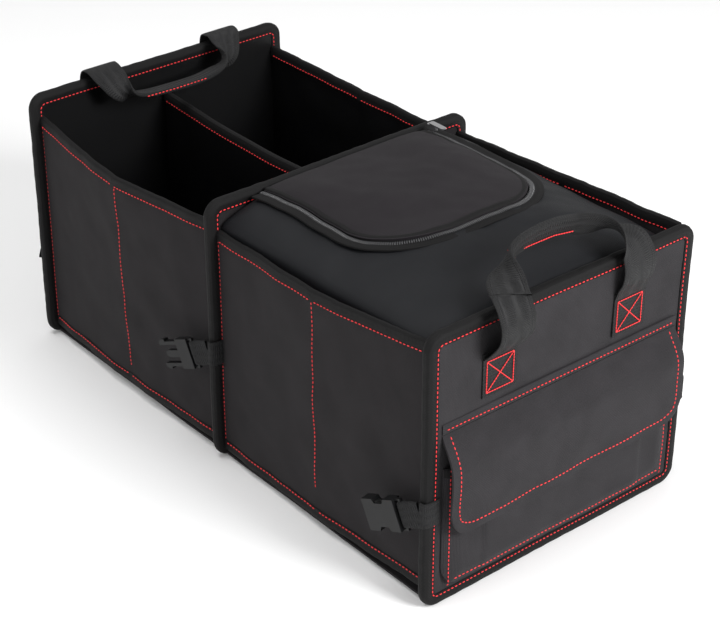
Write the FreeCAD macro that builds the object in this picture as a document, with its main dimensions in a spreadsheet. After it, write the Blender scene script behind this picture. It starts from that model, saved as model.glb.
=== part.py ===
# Folding boot organiser: an open two-compartment bay and a zipped cooler bay between
# three stiff transverse panels.  Millimetres, +Z up, +X towards the pocket end,
# origin at the bottom centre of the middle panel.
import FreeCAD, Part
import math
import os
import Sketcher

doc = FreeCAD.newDocument("BootOrganiser")
sizes = doc.addObject("Spreadsheet::Sheet", "Sizes")

DRIVING = [
    # overall sizes
    ("overall_length", 600), ("panel_width", 310), ("panel_height", 272),
    ("corner_round", 22), ("running_gap", 0.3),
    # transverse panels: a board in a sewn cover, edged with folded tape
    ("board_thick", 4), ("board_margin", 5), ("cover_thick", 1.5),
    ("tape_thick", 1.2), ("tape_width", 12),
    # side panels, each two stiff halves with a soft crease between them
    ("side_inset", 10), ("side_thick", 3), ("side_bottom", 6.5),
    ("hinge_gap", 3.2), ("hinge_clear", 0.8), ("crease_half_gap", 6),
    ("bin_rim", 247), ("bin_rim_crease", 242),
    ("cooler_rim_back", 245), ("cooler_rim_crease", 251), ("cooler_rim_front", 262),
    # floors, loose base boards and the divider
    ("floor_low", 2.5), ("floor_thick", 3), ("base_board_thick", 2.5), ("base_board_round", 8),
    ("divider_offset", 4), ("divider_thick", 4), ("divider_top", 236),
    # cooler liner and its domed top
    ("liner_wall", 5), ("liner_top", 248.5), ("top_crown", 285), ("top_back", 268),
    ("top_side", 255), ("top_thick", 4), ("top_skirt", 240),
    # lid, zip and slider
    ("lid_back", 9.5), ("lid_front", 190), ("lid_half_width", 95.5), ("lid_round", 56),
    ("lid_thick", 2.5), ("lid_edge", 3.5), ("zip_slot", 0.8), ("zip_tape_width", 14),
    ("coil_width", 5), ("coil_height", 1.6), ("slider_length", 11), ("slider_width", 6),
    ("slider_height", 5), ("slider_place", 17), ("pull_length", 20), ("pull_width", 6),
    ("pull_thick", 1.4),
    # flap pocket on the front panel
    ("pocket_half_width", 136), ("pocket_low", 7), ("pocket_top", 140), ("pocket_depth", 12),
    ("pocket_wall", 1.2), ("flap_top", 173), ("flap_low", 80), ("flap_thick", 2.4),
    ("flap_round", 20), ("flap_stand", 2.6), ("closure_low", 96), ("closure_tall", 20),
    ("closure_half_width", 60), ("closure_thick", 0.9),
    # carry handles in wide webbing
    ("web_wide", 38), ("web_thick", 1.5), ("handle_half_span", 76), ("anchor_low", 192),
    ("anchor_top", 232), ("grip_tall", 19), ("grip_thick", 5), ("grip_half_length", 66),
    # side-release buckles on narrow webbing
    ("strap_wide", 25), ("strap_thick", 2.4), ("strap_reach", 16), ("buckle_half_width", 15),
    ("bar_back", 18), ("bar_wide", 2.5), ("bar_thick", 3), ("slot_long", 3.5),
    ("female_length", 36), ("female_thick", 10), ("mouth_half_width", 12), ("mouth_thick", 6.4),
    ("mouth_depth", 30), ("window_start", 11), ("window_long", 13), ("window_deep", 4),
    ("male_length", 16), ("male_thick", 7), ("guide_length", 19), ("guide_half_width", 3.5),
    ("arm_length", 24), ("arm_offset", 11), ("arm_half_width", 1.75), ("arm_thick", 5.6),
    ("barb_long", 8), ("barb_wide", 2.2),
    ("end_buckle_height", 101), ("mid_buckle_height", 118), ("droop_angle", 22),
    ("stand_off_angle", 10), ("seam_end", 0.9),
]
for row, (alias, number) in enumerate(DRIVING, start=1):
    sizes.set("A%d" % row, alias)
    sizes.set("B%d" % row, str(number))
    sizes.setAlias("B%d" % row, alias)
doc.recompute()

SIDES = (("left", -1), ("right", 1))
parts = []


def size(alias):
    """The value that the sheet holds for one driving dimension."""
    return float(sizes.get(alias))


def tie(text):
    """Turns plain alias names in an expression into references to the sheet."""
    words = []
    word = ""
    for letter in text + " ":
        if letter.isalnum() or letter == "_":
            word += letter
            continue
        words.append("Sizes." + word if word in ALIASES else word)
        words.append(letter)
        word = ""
    return "".join(words).strip()


ALIASES = {alias for alias, number in DRIVING}


def sub_part(item, label):
    """Names a finished sub-part and lists it for export."""
    item.Label = label
    parts.append(item)
    return item


def new_body(name):
    return doc.addObject("PartDesign::Body", name + "_body")


def outline(body, role, offset, points):
    """A closed polygon on an origin plane, every corner tied to the sheet."""
    plane = [item for item in body.Origin.OriginFeatures if item.Role == role][0]
    sketch = body.newObject("Sketcher::SketchObject", "Outline")
    sketch.AttachmentSupport = [(plane, "")]
    sketch.MapMode = "FlatFace"
    sketch.setExpression("AttachmentOffset.Base.z", tie(offset))
    count = len(points)
    ring = []
    for place in range(count + 1):
        turn = 2 * math.pi * place / count
        ring.append(FreeCAD.Vector(50 * math.cos(turn), 50 * math.sin(turn), 0))
    for place in range(count):
        sketch.addGeometry(Part.LineSegment(ring[place], ring[place + 1]), False)
    for place in range(count):
        sketch.addConstraint(Sketcher.Constraint("Coincident", place, 2, (place + 1) % count, 1))
    for place, corner in enumerate(points):
        for kind, text in zip(("DistanceX", "DistanceY"), corner):
            index = sketch.addConstraint(Sketcher.Constraint(kind, -1, 1, place, 1, 1.0))
            sketch.setExpression("Constraints[%d]" % index, tie(text))
    return sketch


def rectangle(low_u, high_u, low_v, high_v):
    return [(low_u, low_v), (high_u, low_v), (high_u, high_v), (low_u, high_v)]


def pad(body, sketch, length, kind="PartDesign::Pad"):
    """A pad, or with another kind a pocket, of one length centred on its sketch."""
    feature = body.newObject(kind, kind.split("::")[1])
    feature.Profile = sketch
    feature.SideType = "Symmetric"
    feature.setExpression("Length", tie(length))
    doc.recompute()
    return feature


def pocket(body, sketch, length):
    before = body.Shape.Volume
    feature = pad(body, sketch, length, "PartDesign::Pocket")
    if body.Shape.Volume >= before:
        raise ValueError(body.Name + ": a pocket cut nothing")
    return feature


def round_edges(body, direction, radius, wanted=None):
    """Rounds the body's straight edges along one direction, or those that wanted picks."""
    names = []
    for number, edge in enumerate(body.Tip.Shape.Edges, start=1):
        along = edge.tangentAt(edge.FirstParameter)
        straight = edge.Curve.TypeId == "Part::GeomLine"
        if straight and abs(along.dot(direction)) > 0.99 and (wanted is None or wanted(edge.CenterOfMass)):
            names.append("Edge%d" % number)
    feature = body.newObject("PartDesign::Fillet", "Fillet")
    feature.Base = (body.Tip if body.Tip != feature else feature.BaseFeature, names)
    feature.setExpression("Radius", tie(radius))
    doc.recompute()
    return feature


def block(name, low, high):
    """A Part box between two corners given as expressions."""
    item = doc.addObject("Part::Box", name)
    for axis, side, start, end in zip("xyz", ("Length", "Width", "Height"), low, high):
        item.setExpression(side, tie("(%s) - (%s)" % (end, start)))
        item.setExpression("Placement.Base." + axis, tie(start))
    return item


def boolean(kind, name, first, second):
    item = doc.addObject("Part::" + kind, name)
    item.Base = first
    item.Tool = second
    return item


# ---------------------------------------------------------------- shared positions

BUILD = "(board_thick + 2 * cover_thick)"
TOTAL = "(board_thick + 2 * cover_thick + 2 * tape_thick)"
END_MID = "(overall_length / 2 - %s / 2)" % TOTAL
MID_FACE = "(%s / 2)" % TOTAL
END_FACE = "(overall_length / 2 - %s)" % TOTAL
HALF_WIDTH = "(panel_width / 2)"
HINGE_BACK = "(%s + hinge_gap)" % MID_FACE
HINGE_END = "(%s - hinge_gap)" % END_FACE
CREASE = "((%s + %s) / 2)" % (HINGE_BACK, HINGE_END)
SIDE_OUT = "(panel_width / 2 - side_inset)"
SIDE_MID = "(panel_width / 2 - side_inset - side_thick / 2)"
SIDE_CLEAR = "(panel_width / 2 - side_inset - side_thick - tape_thick - running_gap)"
ALONG_X = FreeCAD.Vector(1, 0, 0)
ALONG_Y = FreeCAD.Vector(0, 1, 0)
ALONG_Z = FreeCAD.Vector(0, 0, 1)


# ---------------------------------------------------------------- transverse panels

def panel_slab(body, place, inset, thick, cut=False):
    """A rounded slab across the box, inset from the panel's outline."""
    sketch = outline(body, "YZ_Plane", place, rectangle(
        "%s - %s" % (inset, HALF_WIDTH), "%s - %s" % (HALF_WIDTH, inset),
        inset, "panel_height - %s" % inset))
    if cut:
        return pocket(body, sketch, thick)
    pad(body, sketch, thick)
    return round_edges(body, ALONG_X, "corner_round - " + inset)


def make_panel(name, place):
    board = new_body(name + "_board")
    panel_slab(board, place, "board_margin", "board_thick")
    sub_part(board, name + "_board")

    # the cover closes round the board, so it holds a cavity of the board's size
    cover = new_body(name + "_cover")
    panel_slab(cover, place, "tape_thick", BUILD)
    cover_block = sub_part(boolean("Cut", name + "_sewn_cover", cover, board), name + "_cover")

    # the edge tape is a ring of U section that the cover's rim sits in
    ring = new_body(name + "_binding")
    panel_slab(ring, place, "(0 * tape_thick)", TOTAL)
    panel_slab(ring, place, "tape_width", "2 * " + TOTAL, cut=True)
    sub_part(boolean("Cut", name + "_edge_tape", ring, cover), name + "_binding")
    return cover_block


for panel_name, panel_place in (
        ("far_panel", "-1 * " + END_MID), ("mid_panel", "0 * board_thick"), ("front_panel", END_MID)):
    make_panel(panel_name, panel_place)


# ---------------------------------------------------------------- folding side panels

def side_half(bay, side, half, way, hand, x_near, x_far, rim_near, rim_far):
    """One stiff half of a side panel, with its rim and hem tapes sewn on."""
    name = "_".join((bay, side, half))
    body = new_body(name)
    place = "%d * %s" % (-hand, SIDE_MID)
    near = "%d * %s" % (way, x_near)
    far = "%d * %s" % (way, x_far)
    web = [(near, "side_bottom"), (far, "side_bottom"), (far, rim_far), (near, rim_near)]
    rim = [(near, rim_near + " - tape_width"), (far, rim_far + " - tape_width"), (far, rim_far), (near, rim_near)]
    hem = [(near, "side_bottom"), (far, "side_bottom"), (far, "side_bottom + tape_width"),
           (near, "side_bottom + tape_width")]
    pad(body, outline(body, "XZ_Plane", place, web), "side_thick")
    for band in (rim, hem):
        pad(body, outline(body, "XZ_Plane", place, band), "side_thick + 2 * tape_thick")
    sub_part(body, name)


def across(hand, near, far):
    """The low and high Y of a span that lies on one side of the box."""
    if hand < 0:
        return "-1 * (%s)" % far, "-1 * (%s)" % near
    return near, far


BAYS = (
    ("bin", -1, "bin_rim", "bin_rim_crease", "bin_rim"),
    ("cooler", 1, "cooler_rim_back", "cooler_rim_crease", "cooler_rim_front"),
)
for bay, way, rim_back, rim_crease, rim_end in BAYS:
    for side, hand in SIDES:
        side_half(bay, side, "inner", way, hand, "(%s + hinge_clear)" % HINGE_BACK,
                  "(%s - crease_half_gap)" % CREASE, rim_back, rim_crease)
        side_half(bay, side, "outer", way, hand, "(%s + crease_half_gap)" % CREASE,
                  "(%s - hinge_clear)" % HINGE_END, rim_crease, rim_end)
        low_y, high_y = across(hand, SIDE_OUT + " - side_thick", SIDE_OUT)
        strip_half = "(crease_half_gap - running_gap)"
        strip = block(
            "_".join((bay, side, "crease")),
            ("%d * %s - %s" % (way, CREASE, strip_half), low_y, "side_bottom"),
            ("%d * %s + %s" % (way, CREASE, strip_half), high_y, rim_crease + " - tape_thick"))
        sub_part(strip, "_".join((bay, side, "crease")))


# ---------------------------------------------------------------- floors, base boards, divider

def span(way, near, far):
    """The low and high X of a span that lies in one bay."""
    if way < 0:
        return "-1 * (%s)" % far, "-1 * (%s)" % near
    return near, far


IN_BAY = (MID_FACE + " + running_gap", END_FACE + " - running_gap")
for bay, way in (("bin", -1), ("cooler", 1)):
    low_x, high_x = span(way, *IN_BAY)
    sub_part(block(bay + "_floor", (low_x, "-1 * " + SIDE_OUT, "floor_low"),
                   (high_x, SIDE_OUT, "floor_low + floor_thick")), bay + "_floor")

BOARD_LOW = "(floor_low + floor_thick + running_gap)"
BOARD_TOP = "(%s + base_board_thick)" % BOARD_LOW
for side, hand in SIDES:
    board = new_body("bin_%s_base_board" % side)
    low_x, high_x = span(-1, MID_FACE + " + 2 * running_gap", END_FACE + " - 2 * running_gap")
    low_y, high_y = across(hand, "%d * divider_offset + divider_thick / 2 + running_gap" % hand,
                           SIDE_CLEAR + " - running_gap")
    board_outline = outline(board, "XY_Plane", "%s + base_board_thick / 2" % BOARD_LOW,
                            rectangle(low_x, high_x, low_y, high_y))
    pad(board, board_outline, "base_board_thick")
    round_edges(board, ALONG_Z, "base_board_round")
    sub_part(board, "bin_%s_base_board" % side)

low_x, high_x = span(-1, MID_FACE + " + 2 * running_gap", END_FACE + " - 2 * running_gap")
DIVIDER_LOW = "(floor_low + floor_thick + running_gap)"


def divider_block(name, extra, low, high):
    half = "(divider_thick / 2 + %s)" % extra
    return block(name, (low_x, "divider_offset - " + half, low), (high_x, "divider_offset + " + half, high))


divider = sub_part(divider_block("divider_panel", "0 * tape_thick", DIVIDER_LOW, "divider_top - tape_thick"),
                   "divider_panel")
divider_cap = divider_block("divider_cap", "tape_thick", "divider_top - tape_width", "divider_top")
sub_part(boolean("Cut", "divider_tape", divider_cap, divider), "divider_binding")


# ---------------------------------------------------------------- cooler liner and domed top

LINER_X = (MID_FACE + " + 4 * running_gap", END_FACE + " - 4 * running_gap")
liner_outer = block("liner_outer", (LINER_X[0], "running_gap - " + SIDE_CLEAR, BOARD_LOW),
                    (LINER_X[1], SIDE_CLEAR + " - running_gap", "liner_top"))
liner_inner = block(
    "liner_inner",
    (LINER_X[0] + " + liner_wall", "running_gap + liner_wall - " + SIDE_CLEAR, BOARD_LOW + " + liner_wall"),
    (LINER_X[1] + " - liner_wall", SIDE_CLEAR + " - running_gap - liner_wall", "liner_top + liner_wall"))
sub_part(boolean("Cut", "liner_shell", liner_outer, liner_inner), "cooler_liner")

TOP_MID = "((%s + %s) / 2)" % IN_BAY
TOP_HALF_LONG = "((%s - (%s)) / 2)" % (IN_BAY[1], IN_BAY[0])
TOP_HALF_WIDE = "(%s - running_gap)" % SIDE_CLEAR


def arch_radius(half_chord, fall):
    """The radius of an arc from its half chord and its rise."""
    return "(({0} * {0} + {1} * {1}) / (2 * {1}))".format(half_chord, fall)


def dome(name, lift):
    """A block under two crossed arches, raised by a lift above the top's outer face."""
    body = block(name + "_block", (IN_BAY[0], "-1 * " + TOP_HALF_WIDE, "top_skirt"),
                 (IN_BAY[1], TOP_HALF_WIDE, "top_crown + 20"))
    solids = [body]
    arches = (
        ("_cross", TOP_HALF_WIDE, "(top_crown - top_side)", FreeCAD.Rotation(ALONG_Y, 90), "x"),
        ("_long", TOP_HALF_LONG, "(top_crown - top_back)", FreeCAD.Rotation(ALONG_X, -90), "y"))
    for tail, half_chord, fall, turn, axis in arches:
        arch = doc.addObject("Part::Cylinder", name + tail)
        radius = arch_radius(half_chord, fall)
        arch.Placement = FreeCAD.Placement(FreeCAD.Vector(), turn)
        arch.setExpression("Radius", tie("%s + (%s)" % (radius, lift)))
        arch.setExpression("Height", tie("3 * overall_length"))
        arch.setExpression("Placement.Base.z", tie("top_crown - %s" % radius))
        arch.setExpression("Placement.Base.%s" % axis, tie("-1.5 * overall_length"))
        if axis == "y":
            arch.setExpression("Placement.Base.x", tie(TOP_MID))
        solids.append(arch)
    common = doc.addObject("Part::MultiCommon", name)
    common.Shapes = solids
    return common


def lid_prism(name, grow):
    """An upright prism of the lid's D outline, grown all round by one amount."""
    body = new_body(name)
    half = "(lid_half_width + %s)" % grow
    shape = rectangle("lid_back", "lid_front + " + grow, "-1 * " + half, half)
    pad(body, outline(body, "XY_Plane", "top_crown", shape), "4 * panel_height")
    middle = (size("lid_back") + size("lid_front")) / 2
    round_edges(body, ALONG_Z, "lid_round + " + grow, lambda centre: centre.x > middle)
    return body


COIL_LIFT = "(closure_thick + coil_height)"
lid_shape = lid_prism("lid_outline", "(0 * zip_slot)")
lid_hole = lid_prism("lid_hole", "zip_slot")
tape_shape = lid_prism("zip_tape_outline", "zip_tape_width")
coil_shape = lid_prism("coil_outline", "(zip_slot + coil_width)")
lid_inner = lid_prism("lid_inner_outline", "(-1 * lid_edge)")

dome_under = dome("dome_under", "-1 * top_thick")
dome_skin = dome("dome_skin", "0 * top_thick")
dome_tape = dome("dome_tape", "closure_thick")
dome_coil = dome("dome_coil", COIL_LIFT)
dome_lid = dome("dome_lid", "lid_thick")
dome_piping = dome("dome_piping", "lid_thick + tape_thick")

top_shell = boolean("Cut", "top_shell", dome_skin, dome_under)
sub_part(boolean("Cut", "top_with_mouth", top_shell, lid_hole), "cooler_top")
tape_shell = boolean("Cut", "tape_shell", dome_tape, dome_skin)
tape_ring = boolean("Cut", "tape_ring", tape_shape, lid_hole)
sub_part(boolean("Common", "zip_tape_sheet", tape_shell, tape_ring), "zip_tape")
coil_shell = boolean("Cut", "coil_shell", dome_coil, dome_tape)
coil_ring = boolean("Cut", "coil_ring", coil_shape, lid_hole)
sub_part(boolean("Common", "coil_strip", coil_shell, coil_ring), "zip_coil")
lid_shell = boolean("Cut", "lid_shell", dome_lid, dome_skin)
sub_part(boolean("Common", "lid_sheet", lid_shell, lid_shape), "lid_flap")
piping_shell = boolean("Cut", "piping_shell", dome_piping, dome_lid)
piping_ring = boolean("Cut", "piping_ring", lid_shape, lid_inner)
sub_part(boolean("Common", "piping_strip", piping_shell, piping_ring), "lid_piping")

# the slider runs over the coil's right leg; its pull lies back along the leg
doc.recompute()
COIL_Y = "(lid_half_width + zip_slot + coil_width / 2)"
cross_radius = arch_radius(TOP_HALF_WIDE, "(top_crown - top_side)")
COIL_TOP = "(top_crown - {0} + sqrt(({0} + {1}) * ({0} + {1}) - {2} * {2}))".format(
    cross_radius, COIL_LIFT, "(lid_half_width + zip_slot)")
slider = new_body("zip_slider")
slider_sketch = outline(slider, "XY_Plane", "%s + running_gap + slider_height / 2" % COIL_TOP, rectangle(
    "slider_place - slider_length / 2", "slider_place + slider_length / 2",
    COIL_Y + " - slider_width / 2", COIL_Y + " + slider_width / 2"))
pad(slider, slider_sketch, "slider_height")
round_edges(slider, ALONG_Z, "slider_width / 3")
sub_part(slider, "zip_slider")
PULL_LOW = "(%s + 2 * running_gap + slider_height)" % COIL_TOP
pull = new_body("zip_pull")
pull_sketch = outline(pull, "XY_Plane", PULL_LOW + " + pull_thick / 2", rectangle(
    "slider_place - pull_width / 2", "slider_place - pull_width / 2 + pull_length",
    COIL_Y + " - pull_width / 2", COIL_Y + " + pull_width / 2"))
pad(pull, pull_sketch, "pull_thick")
round_edges(pull, ALONG_Z, "pull_width / 3")
sub_part(pull, "zip_pull")


# ---------------------------------------------------------------- flap pocket

FRONT_SKIN = "(overall_length / 2 - tape_thick)"
POCKET_FACE = "(%s + pocket_depth)" % FRONT_SKIN
pocket_outer = block("pocket_outer", (FRONT_SKIN, "-1 * pocket_half_width", "pocket_low + tape_width"),
                     (POCKET_FACE, "pocket_half_width", "pocket_top"))
pocket_inner = block(
    "pocket_inner",
    (FRONT_SKIN + " + pocket_wall", "pocket_wall - pocket_half_width", "pocket_low + tape_width + pocket_wall"),
    (POCKET_FACE + " - pocket_wall", "pocket_half_width - pocket_wall", "pocket_top + pocket_wall"))
sub_part(boolean("Cut", "pocket_bag", pocket_outer, pocket_inner), "pocket_body")

FLAP_IN = "(%s + flap_stand)" % POCKET_FACE
FLAP_OUT = "(%s + flap_thick)" % FLAP_IN
flap = new_body("pocket_flap")
flap_profile = [
    (FRONT_SKIN + " + running_gap", "flap_top"), (FRONT_SKIN + " + running_gap", "flap_top - flap_thick"),
    (FLAP_IN, "pocket_top + flap_stand"), (FLAP_IN, "flap_low"), (FLAP_OUT, "flap_low"),
    (FLAP_OUT, "pocket_top + flap_stand + flap_thick")]
pad(flap, outline(flap, "XZ_Plane", "0 * flap_thick", flap_profile), "2 * pocket_half_width + 4")
flap_bottom = size("flap_low")
round_edges(flap, ALONG_X, "flap_round", lambda centre: centre.z < flap_bottom + 1)
sub_part(flap, "pocket_flap")

closure_high = "closure_low + closure_tall"
sub_part(block("pocket_loop_strip", (POCKET_FACE, "-1 * closure_half_width", "closure_low"),
               (POCKET_FACE + " + closure_thick", "closure_half_width", closure_high)), "pocket_loop_strip")
sub_part(block("pocket_hook_strip", (FLAP_IN + " - closure_thick", "-1 * closure_half_width", "closure_low"),
               (FLAP_IN, "closure_half_width", closure_high)), "pocket_hook_strip")


# ---------------------------------------------------------------- carry handles

def webbing_leg(body, hand, path):
    """One webbing leg: a band of even thickness along a side-view path, padded to its width."""
    forward = [(x, z) for x, z, dx, dz in path]
    back = [("%s + (%s)" % (x, dx), "%s + (%s)" % (z, dz)) for x, z, dx, dz in reversed(path)]
    pad(body, outline(body, "XZ_Plane", "%d * handle_half_span" % -hand, forward + back), "web_wide")


def fuse_all(name, items):
    fusion = doc.addObject("Part::MultiFuse", name)
    fusion.Shapes = items
    fusion.Refine = True
    return fusion


def handle_anchors(name, x_low, x_high, low, high):
    items = []
    for side, hand in SIDES:
        low_y, high_y = across(hand, "handle_half_span - web_wide / 2", "handle_half_span + web_wide / 2")
        items.append(block("%s_%s" % (name, side), (x_low, low_y, low), (x_high, high_y, high)))
    pair = doc.addObject("Part::Compound", name + "_pair")
    pair.Links = items
    sub_part(pair, name)


handle_anchors("front_handle_anchors", FRONT_SKIN, FRONT_SKIN + " + web_thick", "anchor_low", "anchor_top")
handle_anchors("far_handle_legs", "-1 * (%s + web_thick)" % FRONT_SKIN, "-1 * " + FRONT_SKIN,
               "anchor_low", "panel_height - tape_width - running_gap")

# the front loop bows out from its anchors, then stands up and leans back over the lid
front_path = [
    (FRONT_SKIN + " + running_gap", "anchor_top + running_gap", "2.2", "0 * web_thick"),
    (FRONT_SKIN + " + 18", "anchor_top + 20", "web_thick", "0 * web_thick"),
    (FRONT_SKIN + " + 20", "anchor_top + 36", "web_thick", "0.4"),
    (FRONT_SKIN + " + 8", "panel_height + 13", "0.9", "web_thick"),
    (FRONT_SKIN + " - 14", "panel_height + 24", "1.1", "web_thick"),
    (FRONT_SKIN + " - 20", "panel_height + 34", "web_thick", "0 * web_thick"),
]
front_legs = []
for side, hand in SIDES:
    leg = new_body("front_handle_leg_" + side)
    webbing_leg(leg, hand, front_path)
    front_legs.append(leg)
front_grip = block(
    "front_grip", (FRONT_SKIN + " - 23", "-1 * (handle_half_span + web_wide / 4)", "panel_height + 28"),
    (FRONT_SKIN + " - 23 + grip_thick", "handle_half_span + web_wide / 4", "panel_height + 28 + grip_tall"))
sub_part(fuse_all("front_handle_webbing", front_legs + [front_grip]), "front_handle_loop")

# the far loop passes over the panel's top and lies inside the open bay
OUTSIDE = "-1 * (overall_length / 2 + %s)"
far_path = [
    (OUTSIDE % "running_gap", "panel_height - tape_width", "-1 * web_thick", "0 * web_thick"),
    (OUTSIDE % "running_gap", "panel_height + 4", "-1 * web_thick", "1.2"),
    (OUTSIDE % "(-5)", "panel_height + 9", "-0.5", "web_thick"),
    (OUTSIDE % "(-16)", "panel_height + 7", "0.6", "web_thick"),
    (OUTSIDE % "(-27)", "panel_height - 5", "1.4", "0.9"),
    (OUTSIDE % "(-34)", "panel_height - 15", "1.4", "0.9"),
]
far_legs = []
for side, hand in SIDES:
    leg = new_body("far_handle_leg_" + side)
    webbing_leg(leg, hand, far_path)
    far_legs.append(leg)
far_grip = block(
    "far_grip", (OUTSIDE % "(-32)", "-1 * (handle_half_span + web_wide / 4)", "panel_height - 18"),
    (OUTSIDE % "(-48)", "handle_half_span + web_wide / 4", "panel_height - 18 + grip_thick"))
sub_part(fuse_all("far_handle_webbing", far_legs + [far_grip]), "far_handle_loop")


# ---------------------------------------------------------------- side-release buckles
# Each is built pointing along +X from the seam that its strap is sewn into, then placed.

FRAME_END = "(bar_back + bar_wide + slot_long)"
SLOT_HALF = "(strap_wide / 2 + 0.5)"


def buckle_bar_frame(body):
    """The thin frame with the bar that the strap loops round."""
    frame = rectangle("bar_back", FRAME_END + " + 2", "-1 * buckle_half_width", "buckle_half_width")
    pad(body, outline(body, "XZ_Plane", "0 * bar_thick", frame), "bar_thick")
    slot = rectangle("bar_back + bar_wide", FRAME_END, "-1 * " + SLOT_HALF, SLOT_HALF)
    pocket(body, outline(body, "XZ_Plane", "0 * bar_thick", slot), "3 * bar_thick")


def female_half(name):
    body = new_body(name)
    buckle_bar_frame(body)
    end = FRAME_END + " + female_length"
    notch = FRAME_END + " + window_start"
    notch_end = notch + " + window_long"
    shape = []
    for sign in ("-1", "1"):
        edge = sign + " * buckle_half_width"
        deep = sign + " * (buckle_half_width - window_deep)"
        run = [(FRAME_END, edge), (notch, edge), (notch + " + 2", deep), (notch_end + " - 2", deep),
               (notch_end, edge), (end, edge)]
        shape += run if sign == "-1" else run[::-1]
    pad(body, outline(body, "XZ_Plane", "0 * bar_thick", shape), "female_thick")
    mouth = rectangle(end + " - mouth_depth", end + " + 1", "-1 * mouth_half_width", "mouth_half_width")
    pocket(body, outline(body, "XZ_Plane", "0 * bar_thick", mouth), "mouth_thick")
    return body


def male_half(name):
    body = new_body(name)
    buckle_bar_frame(body)
    end = FRAME_END + " + male_length"
    shape = rectangle(FRAME_END, end, "-1 * buckle_half_width", "buckle_half_width")
    pad(body, outline(body, "XZ_Plane", "0 * bar_thick", shape), "male_thick")
    guide = [(end, "-1 * guide_half_width"), (end + " + guide_length - 3", "-1 * guide_half_width"),
             (end + " + guide_length", "-0.5 * guide_half_width"), (end + " + guide_length", "0.5 * guide_half_width"),
             (end + " + guide_length - 3", "guide_half_width"), (end, "guide_half_width")]
    pad(body, outline(body, "XZ_Plane", "0 * bar_thick", guide), "0.6 * male_thick")
    return body


def male_arm(name, hand):
    """A flexing arm with its barb, hinged where it leaves the frame."""
    body = new_body(name)
    start = FRAME_END + " + male_length + running_gap"
    end = start + " + arm_length"
    inner = "%d * (arm_offset - arm_half_width)" % hand
    outer = "%d * (arm_offset + arm_half_width)" % hand
    barb = "%d * (arm_offset + arm_half_width + barb_wide)" % hand
    shape = [(start, inner), (end, inner), (end, outer), (end + " - barb_long / 2", barb),
             (end + " - barb_long", barb), (end + " - barb_long", outer), (start, outer)]
    pad(body, outline(body, "XZ_Plane", "0 * bar_thick", shape), "arm_thick")
    return body


def buckle_strap(name):
    """Doubled webbing from the seam, looped round the buckle's bar."""
    body = new_body(name)
    half = "(strap_thick / 2)"
    loop_half = "(bar_thick / 2 + running_gap + strap_thick / 2)"
    loop_end = "(bar_back + bar_wide + running_gap + strap_thick / 2)"
    shape = [("-1 * strap_wide", "-1 * " + half), ("strap_reach - 2", "-1 * " + half),
             ("strap_reach + 0.5", "-1 * " + loop_half), (loop_end, "-1 * " + loop_half), (loop_end, loop_half),
             ("strap_reach + 0.5", loop_half), ("strap_reach - 2", half), ("-1 * strap_wide", half)]
    pad(body, outline(body, "XY_Plane", "0 * bar_thick", shape), "strap_wide")
    # the sewn end is cut upright, along the seam, whatever the droop
    lean = "(strap_wide * tan(droop_angle * 1deg))"
    waste = [("-3 * strap_wide", "-1 * strap_wide"), (lean + " - seam_end", "-1 * strap_wide"),
             ("-1 * %s - seam_end" % lean, "strap_wide"), ("-3 * strap_wide", "strap_wide")]
    pocket(body, outline(body, "XZ_Plane", "0 * bar_thick", waste), "4 * strap_thick")
    eye_half = "(bar_thick / 2 + running_gap)"
    eye = rectangle("bar_back - running_gap", "bar_back + bar_wide + running_gap", "-1 * " + eye_half, eye_half)
    pocket(body, outline(body, "XY_Plane", "0 * bar_thick", eye), "2 * strap_wide")
    return body


STAND_OFF = math.radians(size("stand_off_angle"))
SEAM_OUT = (size("running_gap") + size("strap_thick") / 2 * math.cos(STAND_OFF)
            + size("seam_end") * math.sin(STAND_OFF))
SEAM_Y = size("panel_width") / 2 + SEAM_OUT
END_SEAM_X = size("overall_length") / 2 - size("tape_thick") - size("board_thick") / 2
BACK_SEAM_X = -(size("overall_length") / 2 + SEAM_OUT)


def seam_placement(seat, heading):
    """Droops the strap, turns it to its heading in plan and sets it at its seam."""
    droop = FreeCAD.Rotation(ALONG_Y, size("droop_angle"))
    return FreeCAD.Placement(FreeCAD.Vector(*seat), FreeCAD.Rotation(ALONG_Z, heading).multiply(droop))


def seat_buckle(name, pieces, placement):
    for tail, body in pieces:
        body.Placement = placement
        sub_part(body, name + tail)


for side, hand in SIDES:
    stand_off = hand * size("stand_off_angle")
    toward_back = 180 - stand_off
    # the front and far ends carry the female halves
    front = "front_%s_buckle" % side
    seat_buckle(front, (("_female", female_half(front)), ("_strap", buckle_strap(front + "_strap"))),
                seam_placement((END_SEAM_X, hand * SEAM_Y, size("end_buckle_height")), toward_back))
    far = "far_%s_buckle" % side
    inward = -hand * 90 + (-hand) * size("stand_off_angle")
    far_seat = (BACK_SEAM_X, hand * (SEAM_Y - 6), size("end_buckle_height"))
    seat_buckle(far, (("_female", female_half(far)), ("_strap", buckle_strap(far + "_strap"))),
                seam_placement(far_seat, inward))
    # the middle panel carries the male halves
    middle = "mid_%s_buckle" % side
    seat_buckle(middle, (
        ("_frame", male_half(middle)), ("_strap", buckle_strap(middle + "_strap")),
        ("_arm_upper", male_arm(middle + "_arm_upper", 1)), ("_arm_lower", male_arm(middle + "_arm_lower", -1))),
        seam_placement((0, hand * SEAM_Y, size("mid_buckle_height")), toward_back))


# ---------------------------------------------------------------- checks and export

doc.recompute()
for item in doc.Objects:
    if "Invalid" in item.State or "Error" in item.State:
        raise ValueError("%s did not build: %s" % (item.Label, item.State))
for item in parts:
    if item.Shape.isNull() or not item.Shape.isValid() or item.Shape.Volume <= 0:
        raise ValueError("%s has no valid solid" % item.Label)
os.makedirs("parts", exist_ok=True)
for item in parts:
    item.Shape.exportStep("parts/%s.step" % item.Label)
print("%d sub-parts written" % len(parts))
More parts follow.
